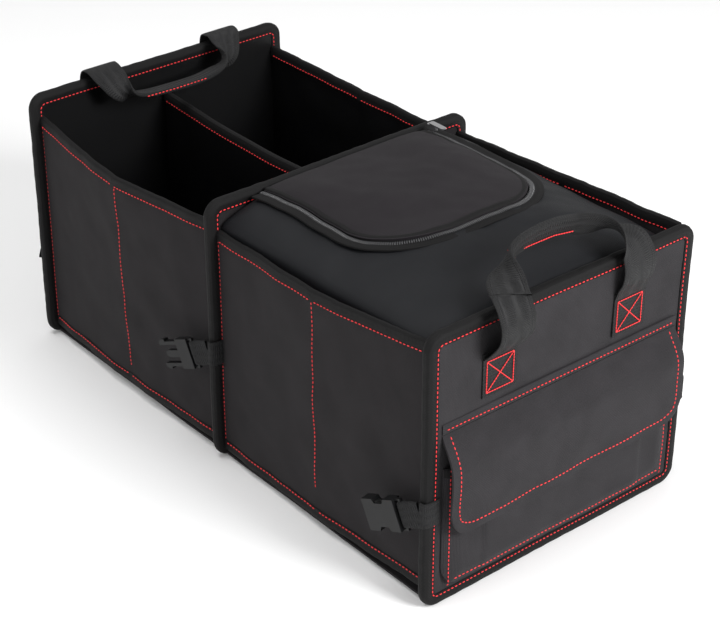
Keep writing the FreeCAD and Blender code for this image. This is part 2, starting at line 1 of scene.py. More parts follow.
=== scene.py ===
"""The looks of a folding boot organiser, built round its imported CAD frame.

Everything is in metres, +Z up, +X towards the flap pocket, -Y the left side.
"""

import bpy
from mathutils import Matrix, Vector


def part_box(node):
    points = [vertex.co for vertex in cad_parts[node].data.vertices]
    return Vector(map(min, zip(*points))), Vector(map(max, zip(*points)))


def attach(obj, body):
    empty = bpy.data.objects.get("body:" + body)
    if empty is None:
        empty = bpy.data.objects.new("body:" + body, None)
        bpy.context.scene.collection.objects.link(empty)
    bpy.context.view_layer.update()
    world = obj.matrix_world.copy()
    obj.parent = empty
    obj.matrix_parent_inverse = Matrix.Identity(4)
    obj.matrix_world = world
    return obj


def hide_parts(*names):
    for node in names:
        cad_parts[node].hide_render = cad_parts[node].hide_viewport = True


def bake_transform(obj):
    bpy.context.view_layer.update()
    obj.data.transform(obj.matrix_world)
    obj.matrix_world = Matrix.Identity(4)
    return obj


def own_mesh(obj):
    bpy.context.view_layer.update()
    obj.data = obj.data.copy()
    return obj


bl_info = {
    "name": "Folding Boot Organiser",
    "version": (1, 0, 0),
    "blender": (4, 5, 0),
    "location": "View3D > Sidebar > Organiser",
    "description": "Sewn pieces, finishes and stage for a folding boot organiser",
    "category": "Object",
}

import math

import bpy
from mathutils import Matrix, Vector, noise

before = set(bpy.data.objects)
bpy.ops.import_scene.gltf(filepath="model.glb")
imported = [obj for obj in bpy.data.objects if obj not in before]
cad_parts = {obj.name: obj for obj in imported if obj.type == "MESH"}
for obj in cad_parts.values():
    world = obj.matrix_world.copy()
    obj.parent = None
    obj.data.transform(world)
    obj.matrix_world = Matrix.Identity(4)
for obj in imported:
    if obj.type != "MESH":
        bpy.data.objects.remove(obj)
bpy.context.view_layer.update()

MM = 0.001
SIDES = (("left", -1), ("right", 1))
BAYS = (("bin", -1), ("cooler", 1))


def span(node):
    """A CAD node's lowest and highest corner, in millimetres."""
    low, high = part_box(node)
    return low / MM, high / MM


# ---------------------------------------------------------------- places taken from the frame

PANEL_LOW, PANEL_HIGH = span("mid_panel_binding")
PANEL_HALF = PANEL_HIGH.y
PANEL_TOP = PANEL_HIGH.z
FACE = PANEL_HIGH.x
PANEL_X = {name: (span(name + "_binding")[0].x + span(name + "_binding")[1].x) / 2
           for name in ("far_panel", "mid_panel", "front_panel")}
FRONT_FACE = span("front_panel_cover")[1].x
BAY_END = PANEL_X["front_panel"] - FACE
CREASE = (FACE + BAY_END) / 2
HALF_Y = {side: abs(span("bin_%s_crease" % side)[0].y + span("bin_%s_crease" % side)[1].y) / 2
          for side, hand in SIDES}
TOP_LOW, TOP_HIGH = span("cooler_top")
LID_LOW, LID_HIGH = span("lid_flap")
POCKET_LOW, POCKET_HIGH = span("pocket_body")
FLAP_LOW, FLAP_HIGH = span("pocket_flap")
DENSE = 0.62              # spacing of the close stitches on the webbing
LID_ROUND = 66            # radius of the lid's front corners
COIL_HALF = Vector((3.0, 0.85, 1.6))   # half sizes of one rib of the zip's coil


# ---------------------------------------------------------------- what a user would change

class OrganiserSizes(bpy.types.PropertyGroup):
    """Sewing details, in metres."""
    corner_round: bpy.props.FloatProperty(
        name="Corner radius", description="Radius of the panels' corners", default=16 * MM, unit="LENGTH")
    tape_width: bpy.props.FloatProperty(
        name="Tape width", description="Visible width of the folded edge tape", default=12 * MM,
        unit="LENGTH")
    stitch_pitch: bpy.props.FloatProperty(
        name="Stitch pitch", description="Distance from stitch to stitch", default=4.4 * MM, unit="LENGTH")
    stitch_long: bpy.props.FloatProperty(
        name="Stitch length", description="Length of one visible stitch", default=3.0 * MM, unit="LENGTH")
    thread_thick: bpy.props.FloatProperty(
        name="Thread thickness", description="Width of the sewing thread", default=1.25 * MM, unit="LENGTH")
    bin_bow: bpy.props.FloatProperty(
        name="Open bay bow", description="How far the open bay's side stands out at its crease",
        default=12 * MM, unit="LENGTH")
    cooler_bow: bpy.props.FloatProperty(
        name="Cooler bow", description="How far the cooler's side stands out at its crease",
        default=6 * MM, unit="LENGTH")


def colour(name, text, red, green, blue):
    return bpy.props.FloatVectorProperty(
        name=name, description=text, default=(red, green, blue), size=3, min=0, max=1, subtype="COLOR")


class OrganiserColours(bpy.types.PropertyGroup):
    """Base colours, linear."""
    panel: colour("Panel cloth", "Woven polyester of the three panels and the pocket", 0.0200, 0.0185, 0.0205)
    # Side cloth: the panel cloth's colour darkened by painted shade, the shade of faces turned away from the
    # key light
    side: colour("Side cloth", "Woven polyester of the side panels", 0.0120, 0.0104, 0.0115)
    top: colour("Domed top", "Smooth cloth over the cooler's foam", 0.0042, 0.0046, 0.0060)
    lid: colour("Lid cloth", "Cloth of the zipped lid", 0.0095, 0.0076, 0.0095)
    tape: colour("Edge tape", "Folded grosgrain tape", 0.0024, 0.0022, 0.0024)
    lining: colour("Lining", "Coated nylon lining", 0.0018, 0.0018, 0.0021)
    webbing: colour("Webbing", "Polypropylene webbing", 0.0105, 0.0105, 0.0110)
    buckle: colour("Buckle", "Moulded buckle plastic", 0.0060, 0.0060, 0.0064)
    coil: colour("Zip coil", "Nylon coil of the zip", 0.05, 0.05, 0.052)
    thread: colour("Thread", "Contrast sewing thread", 0.72, 0.035, 0.04)
    metal: colour("Zip metal", "Plated slider and pull", 0.62, 0.62, 0.63)
    foil: colour("Foil", "Metallised liner", 0.55, 0.56, 0.58)
    board: colour("Board", "Stiffener board", 0.30, 0.29, 0.27)


# ---------------------------------------------------------------- shader groups

def new_group(name, inputs, outputs):
    """An empty shader group with named sockets."""
    group = bpy.data.node_groups.new(name, "ShaderNodeTree")
    for label, kind, default in inputs:
        socket = group.interface.new_socket(name=label, in_out="INPUT", socket_type=kind)
        if default is not None:
            socket.default_value = default
    for label in outputs:
        group.interface.new_socket(name=label, in_out="OUTPUT", socket_type="NodeSocketFloat")
    return group, group.nodes.new("NodeGroupInput"), group.nodes.new("NodeGroupOutput")


def add_math(tree, operation, first, second):
    """A math node whose inputs are sockets or numbers."""
    node = tree.nodes.new("ShaderNodeMath")
    node.operation = operation
    for socket, value in zip(node.inputs, (first, second)):
        if isinstance(value, (int, float)):
            socket.default_value = value
        else:
            tree.links.new(value, socket)
    return node.outputs[0]


def weave_group():
    """Crossing threads as a height, with a slow mottle and a fine speckle as a shade."""
    group, start, end = new_group("cloth_weave", (
        ("Vector", "NodeSocketVector", None), ("Threads U", "NodeSocketFloat", 300.0),
        ("Threads V", "NodeSocketFloat", 300.0), ("Mottle", "NodeSocketFloat", 30.0)), ("Height", "Shade"))
    bands = []
    for direction, label in (("X", "Threads U"), ("Y", "Threads V")):
        wave = group.nodes.new("ShaderNodeTexWave")
        wave.bands_direction = direction
        wave.inputs["Distortion"].default_value = 0.6
        wave.inputs["Detail"].default_value = 1.0
        group.links.new(start.outputs["Vector"], wave.inputs["Vector"])
        group.links.new(start.outputs[label], wave.inputs["Scale"])
        bands.append(wave.outputs["Fac"])
    group.links.new(add_math(group, "MULTIPLY", bands[0], bands[1]), end.inputs["Height"])
    cloud = group.nodes.new("ShaderNodeTexNoise")
    cloud.inputs["Detail"].default_value = 3.0
    group.links.new(start.outputs["Vector"], cloud.inputs["Vector"])
    group.links.new(start.outputs["Mottle"], cloud.inputs["Scale"])
    speckle = group.nodes.new("ShaderNodeTexNoise")
    speckle.inputs["Scale"].default_value = 900.0
    speckle.inputs["Detail"].default_value = 1.0
    group.links.new(start.outputs["Vector"], speckle.inputs["Vector"])
    slow = add_math(group, "MULTIPLY", cloud.outputs["Fac"], 0.55)
    fine = add_math(group, "MULTIPLY", speckle.outputs["Fac"], 0.45)
    group.links.new(add_math(group, "ADD", slow, fine), end.inputs["Shade"])
    return group


def grain_group():
    """A fine moulded or brushed grain as a height, and its slow change as a shade."""
    group, start, end = new_group("fine_grain", (
        ("Vector", "NodeSocketVector", None), ("Scale", "NodeSocketFloat", 1800.0)), ("Height", "Shade"))
    grain = group.nodes.new("ShaderNodeTexNoise")
    grain.inputs["Detail"].default_value = 4.0
    group.links.new(start.outputs["Vector"], grain.inputs["Vector"])
    group.links.new(start.outputs["Scale"], grain.inputs["Scale"])
    group.links.new(grain.outputs["Fac"], end.inputs["Height"])
    slow = group.nodes.new("ShaderNodeTexNoise")
    slow.inputs["Scale"].default_value = 90.0
    group.links.new(start.outputs["Vector"], slow.inputs["Vector"])
    group.links.new(slow.outputs["Fac"], end.inputs["Shade"])
    return group


# ---------------------------------------------------------------- materials

def blank_material(name, roughness, metallic=0.0):
    material = bpy.data.materials.new(name + "_finish")
    material.use_nodes = True
    shader = material.node_tree.nodes["Principled BSDF"]
    shader.inputs["Roughness"].default_value = roughness
    shader.inputs["Metallic"].default_value = metallic
    return material, material.node_tree, shader


def dress(tree, shader, pattern, base, contrast, depth):
    """Feeds a pattern's shade into the colour and its height into a bump."""
    mix = tree.nodes.new("ShaderNodeMix")
    mix.data_type = "RGBA"
    mix.inputs["A"].default_value = (*[c * (1 - contrast) for c in base], 1)
    mix.inputs["B"].default_value = (*[min(1, c * (1 + contrast)) for c in base], 1)
    tree.links.new(pattern.outputs["Shade"], mix.inputs["Factor"])
    tree.links.new(mix.outputs["Result"], shader.inputs["Base Color"])
    bump = tree.nodes.new("ShaderNodeBump")
    bump.inputs["Strength"].default_value = 0.6
    bump.inputs["Distance"].default_value = depth
    tree.links.new(pattern.outputs["Height"], bump.inputs["Height"])
    tree.links.new(bump.outputs["Normal"], shader.inputs["Normal"])


def cloth_material(name, base, pitch_u, pitch_v, depth, roughness=0.85, contrast=0.35, sheen=0.01,
                   mottle=30.0):
    """Woven cloth on the piece's own UV map, which is in metres along the cloth."""
    material, tree, shader = blank_material(name, roughness)
    shader.inputs["Sheen Weight"].default_value = sheen
    shader.inputs["Sheen Roughness"].default_value = 0.5
    shader.inputs["Specular IOR Level"].default_value = 0.2
    place = tree.nodes.new("ShaderNodeUVMap")
    place.uv_map = "cloth"
    weave = tree.nodes.new("ShaderNodeGroup")
    weave.node_tree = bpy.data.node_groups["cloth_weave"]
    weave.inputs["Threads U"].default_value = 0.314 / pitch_u
    weave.inputs["Threads V"].default_value = 0.314 / pitch_v
    weave.inputs["Mottle"].default_value = mottle
    tree.links.new(place.outputs["UV"], weave.inputs["Vector"])
    dress(tree, shader, weave, base, contrast, depth)
    return material


def hard_material(name, base, roughness, metallic=0.0, scale=1800.0, depth=0.00005, contrast=0.2):
    """Moulded plastic, plated metal or board, on Object coordinates."""
    material, tree, shader = blank_material(name, roughness, metallic)
    shader.inputs["Specular IOR Level"].default_value = 0.25
    place = tree.nodes.new("ShaderNodeTexCoord")
    grain = tree.nodes.new("ShaderNodeGroup")
    grain.node_tree = bpy.data.node_groups["fine_grain"]
    grain.inputs["Scale"].default_value = scale
    tree.links.new(place.outputs["Object"], grain.inputs["Vector"])
    dress(tree, shader, grain, base, contrast, depth)
    return material


def finish_of(name):
    return bpy.data.materials[name + "_finish"]


# ---------------------------------------------------------------- shaping tools

def deselect():
    bpy.ops.object.select_all(action="DESELECT")


def take_up(piece):
    """Makes one piece the only selected and the active one."""
    deselect()
    piece.select_set(True)
    bpy.context.view_layer.objects.active = piece


def apply_modifier(piece, kind, **settings):
    take_up(piece)
    modifier = piece.modifiers.new(kind.lower(), kind)
    for key, value in settings.items():
        setattr(modifier, key, value)
    bpy.ops.object.modifier_apply(modifier=modifier.name)


def smooth_off(piece, degrees=45):
    take_up(piece)
    bpy.ops.object.shade_smooth_by_angle(angle=math.radians(degrees))


def cloth_grid(name, columns, rows, place, width, length, material, thick=0.0, closed=False):
    """A sheet laid out from a flat grid; place(u, v) gives each point in millimetres."""
    deselect()
    bpy.ops.mesh.primitive_grid_add(x_subdivisions=columns, y_subdivisions=rows, size=1)
    piece = bpy.context.object
    piece.name = name
    layer = piece.data.uv_layers[0]
    layer.name = "cloth"
    for corner in layer.data:
        corner.uv = (corner.uv.x * width * MM, corner.uv.y * length * MM)
    for vertex in piece.data.vertices:
        vertex.co = Vector(place(vertex.co.x + 0.5, vertex.co.y + 0.5)) * MM
    if closed:
        take_up(piece)
        bpy.ops.object.mode_set(mode="EDIT")
        bpy.ops.mesh.select_all(action="SELECT")
        bpy.ops.mesh.remove_doubles(threshold=0.01 * MM)
        bpy.ops.mesh.normals_make_consistent(inside=False)
        bpy.ops.object.mode_set(mode="OBJECT")
    piece.data.materials.append(finish_of(material))
    if thick:
        apply_modifier(piece, "SOLIDIFY", thickness=thick * MM, offset=0.0)
    smooth_off(piece)
    return piece


def line_through(points):
    """A smooth curve through a few points: at(t) for t from 0 to 1, with any number of values per point."""
    points = [tuple(p) for p in points]
    padded = [points[0]] + points + [points[-1]]

    def at(t):
        place = min(max(t, 0.0), 1.0) * (len(points) - 1)
        step = min(int(place), len(points) - 2)
        f = place - step
        a, b, c, d = padded[step:step + 4]
        return [0.5 * (2 * q + (r - p) * f + (2 * p - 5 * q + 4 * r - s) * f * f
                       + (3 * q - p - 3 * r + s) * f ** 3) for p, q, r, s in zip(a, b, c, d)]
    return at


def band(name, rail, steps, profile, length, material, closed=False):
    """A tape whose section follows a rail; rail(t) gives a point, the way in and the way across."""
    def place(u, v):
        point, inward, across = rail(u)
        depth, lift = profile[round(v * (len(profile) - 1))]
        return point + inward * depth + across * lift
    reach = sum(math.dist(a, b) for a, b in zip(profile, profile[1:]))
    return cloth_grid(name, steps, len(profile) - 1, place, length, reach, material, closed=closed)


def folded_tape(width, half_thick):
    """The section of an edge tape folded over a rim: pairs of depth into the cloth and lift."""
    side = [(width, half_thick - 0.9), (width - 0.4, half_thick - 0.1), (width * 0.5, half_thick + 0.25),
            (1.6, half_thick), (0.4, half_thick * 0.72), (-0.3, half_thick * 0.3)]
    return side + [(depth, -lift) for depth, lift in reversed(side)]


def ripple(point, size, height):
    """A slow, repeatable unevenness of cloth."""
    return noise.noise(Vector(point) / size) * height


def webbing(name, stations, material, length, steps=40, around=12):
    """Woven strap through stations of centre, way across its width, half width and half thickness."""
    centre = line_through([s[0] for s in stations])
    wide = line_through([s[1] for s in stations])
    size = line_through([s[2:] for s in stations])

    def place(u, v):
        middle = Vector(centre(u))
        ahead = (Vector(centre(min(1, u + 0.01))) - Vector(centre(max(0, u - 0.01)))).normalized()
        across = Vector(wide(u))
        across = (across - ahead * across.dot(ahead)).normalized()
        up = ahead.cross(across)
        half_wide, half_thick = size(u)
        turn = 2 * math.pi * v
        flat = math.copysign(abs(math.cos(turn)) ** 0.25, math.cos(turn))
        round_off = math.copysign(abs(math.sin(turn)) ** 0.6, math.sin(turn))
        return middle + across * flat * half_wide + up * round_off * half_thick
    piece = cloth_grid(name, steps, around, place, length, 4 * stations[0][2], material, closed=True)
    return piece


# ---------------------------------------------------------------- stitching

def stitch_template():
    """One low stitch lying along X, as corner places and faces."""
    deselect()
    bpy.ops.mesh.primitive_uv_sphere_add(segments=6, ring_count=4, radius=1)
    ball = bpy.context.object
    bpy.ops.object.mode_set(mode="EDIT")
    bpy.ops.mesh.select_all(action="SELECT")
    bpy.ops.transform.rotate(value=math.pi / 2, orient_axis="Y", center_override=(0, 0, 0))
    bpy.ops.object.mode_set(mode="OBJECT")
    corners = [v.co.copy() for v in ball.data.vertices]
    faces = [tuple(p.vertices) for p in ball.data.polygons]
    bpy.data.objects.remove(ball)
    return corners, faces


STITCH = None


def sew(name, seams, spacing=1.0):
    """One piece of thread for all the seams given; a seam is a list of points in millimetres with normals."""
    sizes = bpy.context.scene.organiser_sizes
    corners, faces = STITCH
    scale = Vector((sizes.stitch_long / 2, sizes.thread_thick / 2, sizes.thread_thick / 2.4))
    made_corners, made_faces = [], []
    for seam in seams:
        points = [Vector(p) * MM for p, n in seam]
        normals = [Vector(n) for p, n in seam]
        runs = [(b - a).length for a, b in zip(points, points[1:])]
        total = sum(runs)
        count = max(1, round(total / (sizes.stitch_pitch * spacing)))
        step, passed = 0, 0.0
        for number in range(count):
            distance = (number + 0.5) * total / count
            while step < len(runs) - 1 and distance > passed + runs[step]:
                passed += runs[step]
                step += 1
            share = (distance - passed) / max(runs[step], 1e-9)
            centre = points[step].lerp(points[step + 1], share)
            along = (points[step + 1] - points[step]).normalized()
            up = normals[step].lerp(normals[step + 1], share)
            up = (up - along * up.dot(along)).normalized()
            beside = up.cross(along)
            start = len(made_corners)
            for corner in corners:
                made_corners.append(centre + along * corner.x * scale.x + beside * corner.y * scale.y
                                    + up * corner.z * scale.z)
            made_faces += [tuple(start + index for index in face) for face in faces]
    mesh = bpy.data.meshes.new(name)
    mesh.from_pydata(made_corners, [], made_faces)
    for polygon in mesh.polygons:
        polygon.use_smooth = True
    piece = bpy.data.objects.new(name, mesh)
    bpy.context.scene.collection.objects.link(piece)
    mesh.materials.append(finish_of("red_thread"))
    return piece


def carry(piece, body, replaces=()):
    """Gives a piece its body and hides the CAD nodes that it stands for."""
    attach(piece, body)
    if replaces:
        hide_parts(*replaces)
    return piece


def crumple(piece):
    """Gives a soft piece that spans a bay its own copy of its mesh."""
    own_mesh(piece)


def flatten(piece):
    """Gives a piece of a side panel its own copy of its mesh."""
    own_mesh(piece)


# ---------------------------------------------------------------- transverse panels

def ring_rail(half_wide, low, high, radius):
    """Walks a rounded rectangle across the box: at(t) gives Y, Z and the way inwards."""
    centres = ((half_wide - radius, low + radius), (half_wide - radius, high - radius),
               (radius - half_wide, high - radius), (radius - half_wide, low + radius))
    runs = (high - low - 2 * radius, 2 * half_wide - 2 * radius) * 2
    arc = math.pi / 2 * radius
    total = sum(runs) + 4 * arc

    def at(t):
        distance = (t % 1.0) * total
        for number, (centre, run) in enumerate(zip(centres, runs)):
            turned = math.radians(90 * number - 90)
            if distance <= arc:
                turned += distance / radius
                extra = 0.0
            elif distance <= arc + run:
                turned += math.pi / 2
                extra = distance - arc
            else:
                distance -= arc + run
                continue
            y = centre[0] + radius * math.cos(turned) - extra * math.sin(turned)
            z = centre[1] + radius * math.sin(turned) + extra * math.cos(turned)
            return y, z, -math.cos(turned), -math.sin(turned)
        return at(0.0)
    at.total = total
    return at


def panel_wave(name, y, z):
    """The panel boards are not quite flat."""
    return ripple((PANEL_X[name], y, z), 130, 1.6)


def build_panel(name, body, outer_cloth):
    sizes = bpy.context.scene.organiser_sizes
    radius = sizes.corner_round / MM
    x = PANEL_X[name]

    def place(u, v):
        # the square grid's corners are drawn in to the rounded outline
        half, tall = PANEL_HALF - 1.5, PANEL_TOP / 2 - 1.5
        y, z = (2 * u - 1) * half, (2 * v - 1) * tall
        over_y, over_z = abs(y) - (half - radius), abs(z) - (tall - radius)
        if over_y > 0 and over_z > 0:
            a, b = over_y / radius, over_z / radius
            y = math.copysign(half - radius + radius * a * math.sqrt(1 - b * b / 2), y)
            z = math.copysign(tall - radius + radius * b * math.sqrt(1 - a * a / 2), z)
        z += PANEL_TOP / 2
        return x + panel_wave(name, y, z), y, z
    slab = cloth_grid(name + "_cloth", 62, 54, place, 2 * PANEL_HALF, PANEL_TOP, outer_cloth, thick=7.2)
    slab.data.materials.append(finish_of("lining"))
    for polygon in slab.data.polygons:
        lining_side = {"far_panel": 1, "mid_panel": -1}.get(name, 0)
        polygon.material_index = 1 if polygon.normal.x * lining_side > 0.5 else 0
    carry(slab, body, (name + "_cover",))

    ring = ring_rail(PANEL_HALF, 0.0, PANEL_TOP, radius)

    def rail(t):
        y, z, in_y, in_z = ring(t)
        pucker = ripple((x, y, z), 9, 0.5)
        return (Vector((x + panel_wave(name, y, z), y, z)) - Vector((0, in_y, in_z)) * (pucker - 0.4),
                Vector((0, in_y, in_z)), Vector((1, 0, 0)))
    tape_wide = sizes.tape_width / MM
    tape = band(name + "_edge_tape", rail, 420, folded_tape(tape_wide, FACE), ring.total, "edge_tape",
                closed=True)
    carry(tape, body, (name + "_binding",))

    seams = []
    for lift in (-1, 1):
        seam = []
        for step in range(241):
            y, z, in_y, in_z = ring(min(step / 240, 0.99999))
            reach = tape_wide - 1.8
            face = x + panel_wave(name, y, z) + lift * (FACE + 0.2)
            seam.append(((face, y + in_y * reach, z + in_z * reach), (lift, 0, 0)))
        seams.append(seam)
    thread = sew(name + "_edge_thread", seams)
    carry(thread, body)


# ---------------------------------------------------------------- folding side panels

RIMS = {
    # heights at the middle panel, at the crease and at the end panel
    ("bin", "left"): (249, 243, 250), ("bin", "right"): (247, 244, 247),
    ("cooler", "left"): (244, 248, 261), ("cooler", "right"): (254, 262, 271),
}
HEMS = {"bin": (10, 10, 10), "cooler": (7, 8, 13)}


def three_point(values, place):
    """Reads a value given at the middle panel, the crease and the end panel."""
    near, mid, far = values
    return near + (mid - near) * 2 * place if place < 0.5 else mid + (far - mid) * (2 * place - 1)


def side_surface(bay, side, x, z):
    """How far out the middle of a side panel's thickness stands at a place."""
    sizes = bpy.context.scene.organiser_sizes
    hand = dict(SIDES)[side]
    place = (abs(x) - FACE) / (BAY_END - FACE)
    bow = (sizes.bin_bow if bay == "bin" else sizes.cooler_bow) / MM
    if side == "right":
        bow *= 0.35
    peak = 1 - abs(1 - 2 * place) ** 1.35
    up = min(max(z / 250, 0), 1)
    out = HALF_Y[side] + bow * peak * (0.45 + 0.55 * up)
    edge = min(1.0, 10 * min(place, 1 - place))
    out += ripple((x, hand * 77, z), 38, 1.8) * edge + ripple((x, hand * 31, z), 14, 0.5) * edge
    return hand * out


def side_rim(bay, side, x):
    place = (abs(x) - FACE) / (BAY_END - FACE)
    return three_point(RIMS[(bay, side)], place)


def side_hem(bay, x):
    return three_point(HEMS[bay], (abs(x) - FACE) / (BAY_END - FACE))


def build_side_half(bay, way, side, hand, half):
    """One stiff half, its rim and hem tapes and its stitching."""
    sizes = bpy.context.scene.organiser_sizes
    name = "_".join((bay, side, half))
    start, end = (FACE - 0.3, CREASE) if half == "inner" else (CREASE, BAY_END + 0.3)
    start, end = way * start, way * end

    def place(u, v):
        x = start + (end - start) * u
        low, high = side_hem(bay, x) + 1, side_rim(bay, side, x) - 1
        z = low + (high - low) * v
        return x, side_surface(bay, side, x, z), z
    cloth = cloth_grid(name + "_cloth", 26, 40, place, abs(end - start), 245, "painted_shade_cloth", thick=3.0)
    if bay == "bin":
        cloth.data.materials.append(finish_of("lining"))
        for polygon in cloth.data.polygons:
            polygon.material_index = 1 if polygon.normal.y * hand < -0.3 else 0
    stands_for = (name, "_".join((bay, side, "crease"))) if half == "inner" else (name,)
    carry(cloth, name, stands_for)
    flatten(cloth)

    tape_wide = sizes.tape_width / MM
    edges = (("rim", lambda x: side_rim(bay, side, x), -1), ("hem", lambda x: side_hem(bay, x), 1))
    seams = []
    for edge, height, into in edges:
        def rail(t, height=height, into=into):
            x = start + (end - start) * t
            z = height(x)
            pucker = into * ripple((x, hand, z), 8, 0.5)
            return (Vector((x, side_surface(bay, side, x, z + into * 5), z - pucker)), Vector((0, 0, into)),
                    Vector((0, 1, 0)))
        tape = band("%s_%s_tape" % (name, edge), rail, 60, folded_tape(tape_wide, 2.5), abs(end - start),
                    "edge_tape")
        carry(tape, name)
        flatten(tape)
        for out in (1, -1):
            if edge == "hem" and out < 0:
                continue
            seam = []
            for step in range(31):
                x = start + (end - start) * (0.02 + 0.96 * step / 30)
                z = height(x) + into * (tape_wide - 1.8)
                seam.append(((x, side_surface(bay, side, x, height(x) + into * 5) + hand * out * 2.75, z),
                             (0, hand * out, 0)))
            seams.append(seam)
    # the crease is sewn down beside its fold
    beside = way * (CREASE - 2.0 if half == "inner" else CREASE + 2.0)
    if half == "inner":
        low, high = 31 if bay == "bin" else 42, side_rim(bay, side, beside) - tape_wide
        seams.append([((beside, side_surface(bay, side, beside, low + (high - low) * step / 24) + hand * 1.6,
                        low + (high - low) * step / 24), (0, hand, 0)) for step in range(25)])
    thread = sew(name + "_thread", seams)
    carry(thread, name)
    flatten(thread)


# ---------------------------------------------------------------- floors, base boards, divider

def build_floor(bay, way):
    low, high = span(bay + "_floor")

    def place(u, v):
        x = low.x + (high.x - low.x) * u
        y = low.y + (high.y - low.y) * v
        return x, y, (low.z + high.z) / 2 + ripple((x, y, 3), 60, 0.8)
    floor = cloth_grid(bay + "_floor_cloth", 40, 40, place, high.x - low.x, high.y - low.y, "painted_shade_cloth",
                       thick=2.0)
    carry(floor, "root", (bay + "_floor",))
    crumple(floor)


def build_base_board(side):
    node = "bin_%s_base_board" % side
    low, high = span(node)

    def place(u, v):
        x = low.x + (high.x - low.x) * u
        y = low.y + (high.y - low.y) * v
        score = 0.5 * math.exp(-((x - (low.x + high.x) / 2) / 4) ** 2)
        return x, y, (low.z + high.z) / 2 + ripple((x, y, 9), 80, 0.5) - score
    board = cloth_grid(node + "_cloth", 60, 30, place, high.x - low.x, high.y - low.y, "lining", thick=2.3)
    carry(board, "bin_%s_board" % side, (node,))
    crumple(board)


def divider_lean(x, z):
    return ripple((x, 5, z), 60, 2.2) * math.sin(math.pi * min(max((abs(x) - 5) / 285, 0), 1))


def build_divider():
    low, high = span("divider_panel")
    rim = span("divider_binding")[1].z
    middle = (low.y + high.y) / 2

    def top(x):
        place = (abs(x) - 5) / 285
        return rim - 1 - 5 * math.sin(math.pi * min(max(place, 0), 1))

    def place(u, v):
        x = low.x + (high.x - low.x) * u
        z = low.z + (top(x) - 1 - low.z) * v
        return x, middle + divider_lean(x, z), z
    panel = cloth_grid("divider_cloth", 44, 36, place, high.x - low.x, 230, "lining", thick=3.4)
    carry(panel, "root", ("divider_panel",))

    def rail(t):
        x = low.x + (high.x - low.x) * t
        rim_point = Vector((x, middle + divider_lean(x, top(x) - 5), top(x)))
        return rim_point, Vector((0, 0, -1)), Vector((0, 1, 0))
    tape = band("divider_tape", rail, 90, folded_tape(12, 2.9), high.x - low.x, "edge_tape")
    carry(tape, "root", ("divider_binding",))
    seams = []
    for out in (-1, 1):
        seam = []
        for step in range(61):
            x = low.x + (high.x - low.x) * (0.01 + 0.98 * step / 60)
            seam.append(((x, middle + divider_lean(x, top(x) - 5) + out * 3.1, top(x) - 10), (0, out, 0)))
        seams.append(seam)
    thread = sew("divider_thread", seams)
    carry(thread, "root")
    for piece in (panel, tape, thread):
        crumple(piece)


# ---------------------------------------------------------------- cooler top, lid and zip

def dome_height(x, y):
    """The padded top: a shallow crown that rolls down at its edges."""
    half_long = (TOP_HIGH.x - TOP_LOW.x) / 2
    middle = (TOP_HIGH.x + TOP_LOW.x) / 2
    across = abs(y) / TOP_HIGH.y
    along = abs(x - middle) / half_long
    drop = ((28 * across ** 2.6) ** 2.5 + (14 * along ** 3) ** 2.5) ** 0.4
    inside = 1 - min(1, max(across, along)) ** 14
    soft = (ripple((x, y, 40), 45, 2.4) + ripple((x, y, 80), 17, 0.7)) * inside
    return TOP_HIGH.z - 1.6 - drop + soft


def open_mouth(piece):
    """Cuts the lid's opening out of the domed top and trims the cut to the lid's outline."""
    margin = 3.0
    half, front, radius = LID_HIGH.y + margin, LID_HIGH.x + margin, LID_ROUND + margin
    back = LID_LOW.x + 4
    outline = lid_outline(margin)
    cut = [outline(step / 500)[:2] for step in range(501)]
    cut = [(x, y) for x, y in cut if x > back] + [(back, half * step / 40) for step in range(-40, 41)]

    def inside(centre):
        over_x, over_y = centre.x / MM - (front - radius), abs(centre.y) / MM - (half - radius)
        if centre.x < back * MM or over_x > radius or over_y > radius:
            return False
        return over_x < 0 or over_y < 0 or math.hypot(over_x, over_y) < radius
    take_up(piece)
    bpy.ops.object.mode_set(mode="EDIT")
    bpy.context.tool_settings.mesh_select_mode = (False, False, True)
    bpy.ops.mesh.select_all(action="DESELECT")
    bpy.ops.object.mode_set(mode="OBJECT")
    mesh = piece.data
    gone = {polygon.index for polygon in mesh.polygons if inside(polygon.center)}
    kept_corners = {v for polygon in mesh.polygons if polygon.index not in gone for v in polygon.vertices}
    for polygon in mesh.polygons:
        polygon.select = polygon.index in gone
        if polygon.index not in gone:
            continue
        for index in kept_corners.intersection(polygon.vertices):
            corner = mesh.vertices[index].co
            x, y = min(cut, key=lambda spot: math.hypot(spot[0] - corner.x / MM, spot[1] - corner.y / MM))
            mesh.vertices[index].co = Vector((x, y, dome_height(x, y))) * MM
    bpy.ops.object.mode_set(mode="EDIT")
    bpy.ops.mesh.delete(type="FACE")
    bpy.ops.object.mode_set(mode="OBJECT")


def build_top():
    def place(u, v):
        a, b = 2 * u - 1, 2 * v - 1
        # the outermost rows turn down into the skirt
        skirt = max(0.0, (max(abs(a), abs(b)) - 0.965) / 0.035)
        a, b = min(max(a / 0.965, -1), 1), min(max(b / 0.965, -1), 1)
        x = (TOP_LOW.x + TOP_HIGH.x) / 2 + a * ((TOP_HIGH.x - TOP_LOW.x) / 2 - 1)
        y = b * (TOP_HIGH.y - 1)
        rolled = max(abs(a), abs(b)) ** 14
        z = dome_height(x, y) - 5 * rolled - 9 * skirt
        return x, y, z
    top = cloth_grid("cooler_top_cloth", 90, 90, place, 290, 290, "top_cloth")
    open_mouth(top)
    apply_modifier(top, "SOLIDIFY", thickness=3.2 * MM, offset=0.0)
    smooth_off(top)
    carry(top, "root", ("cooler_top",))
    crumple(top)


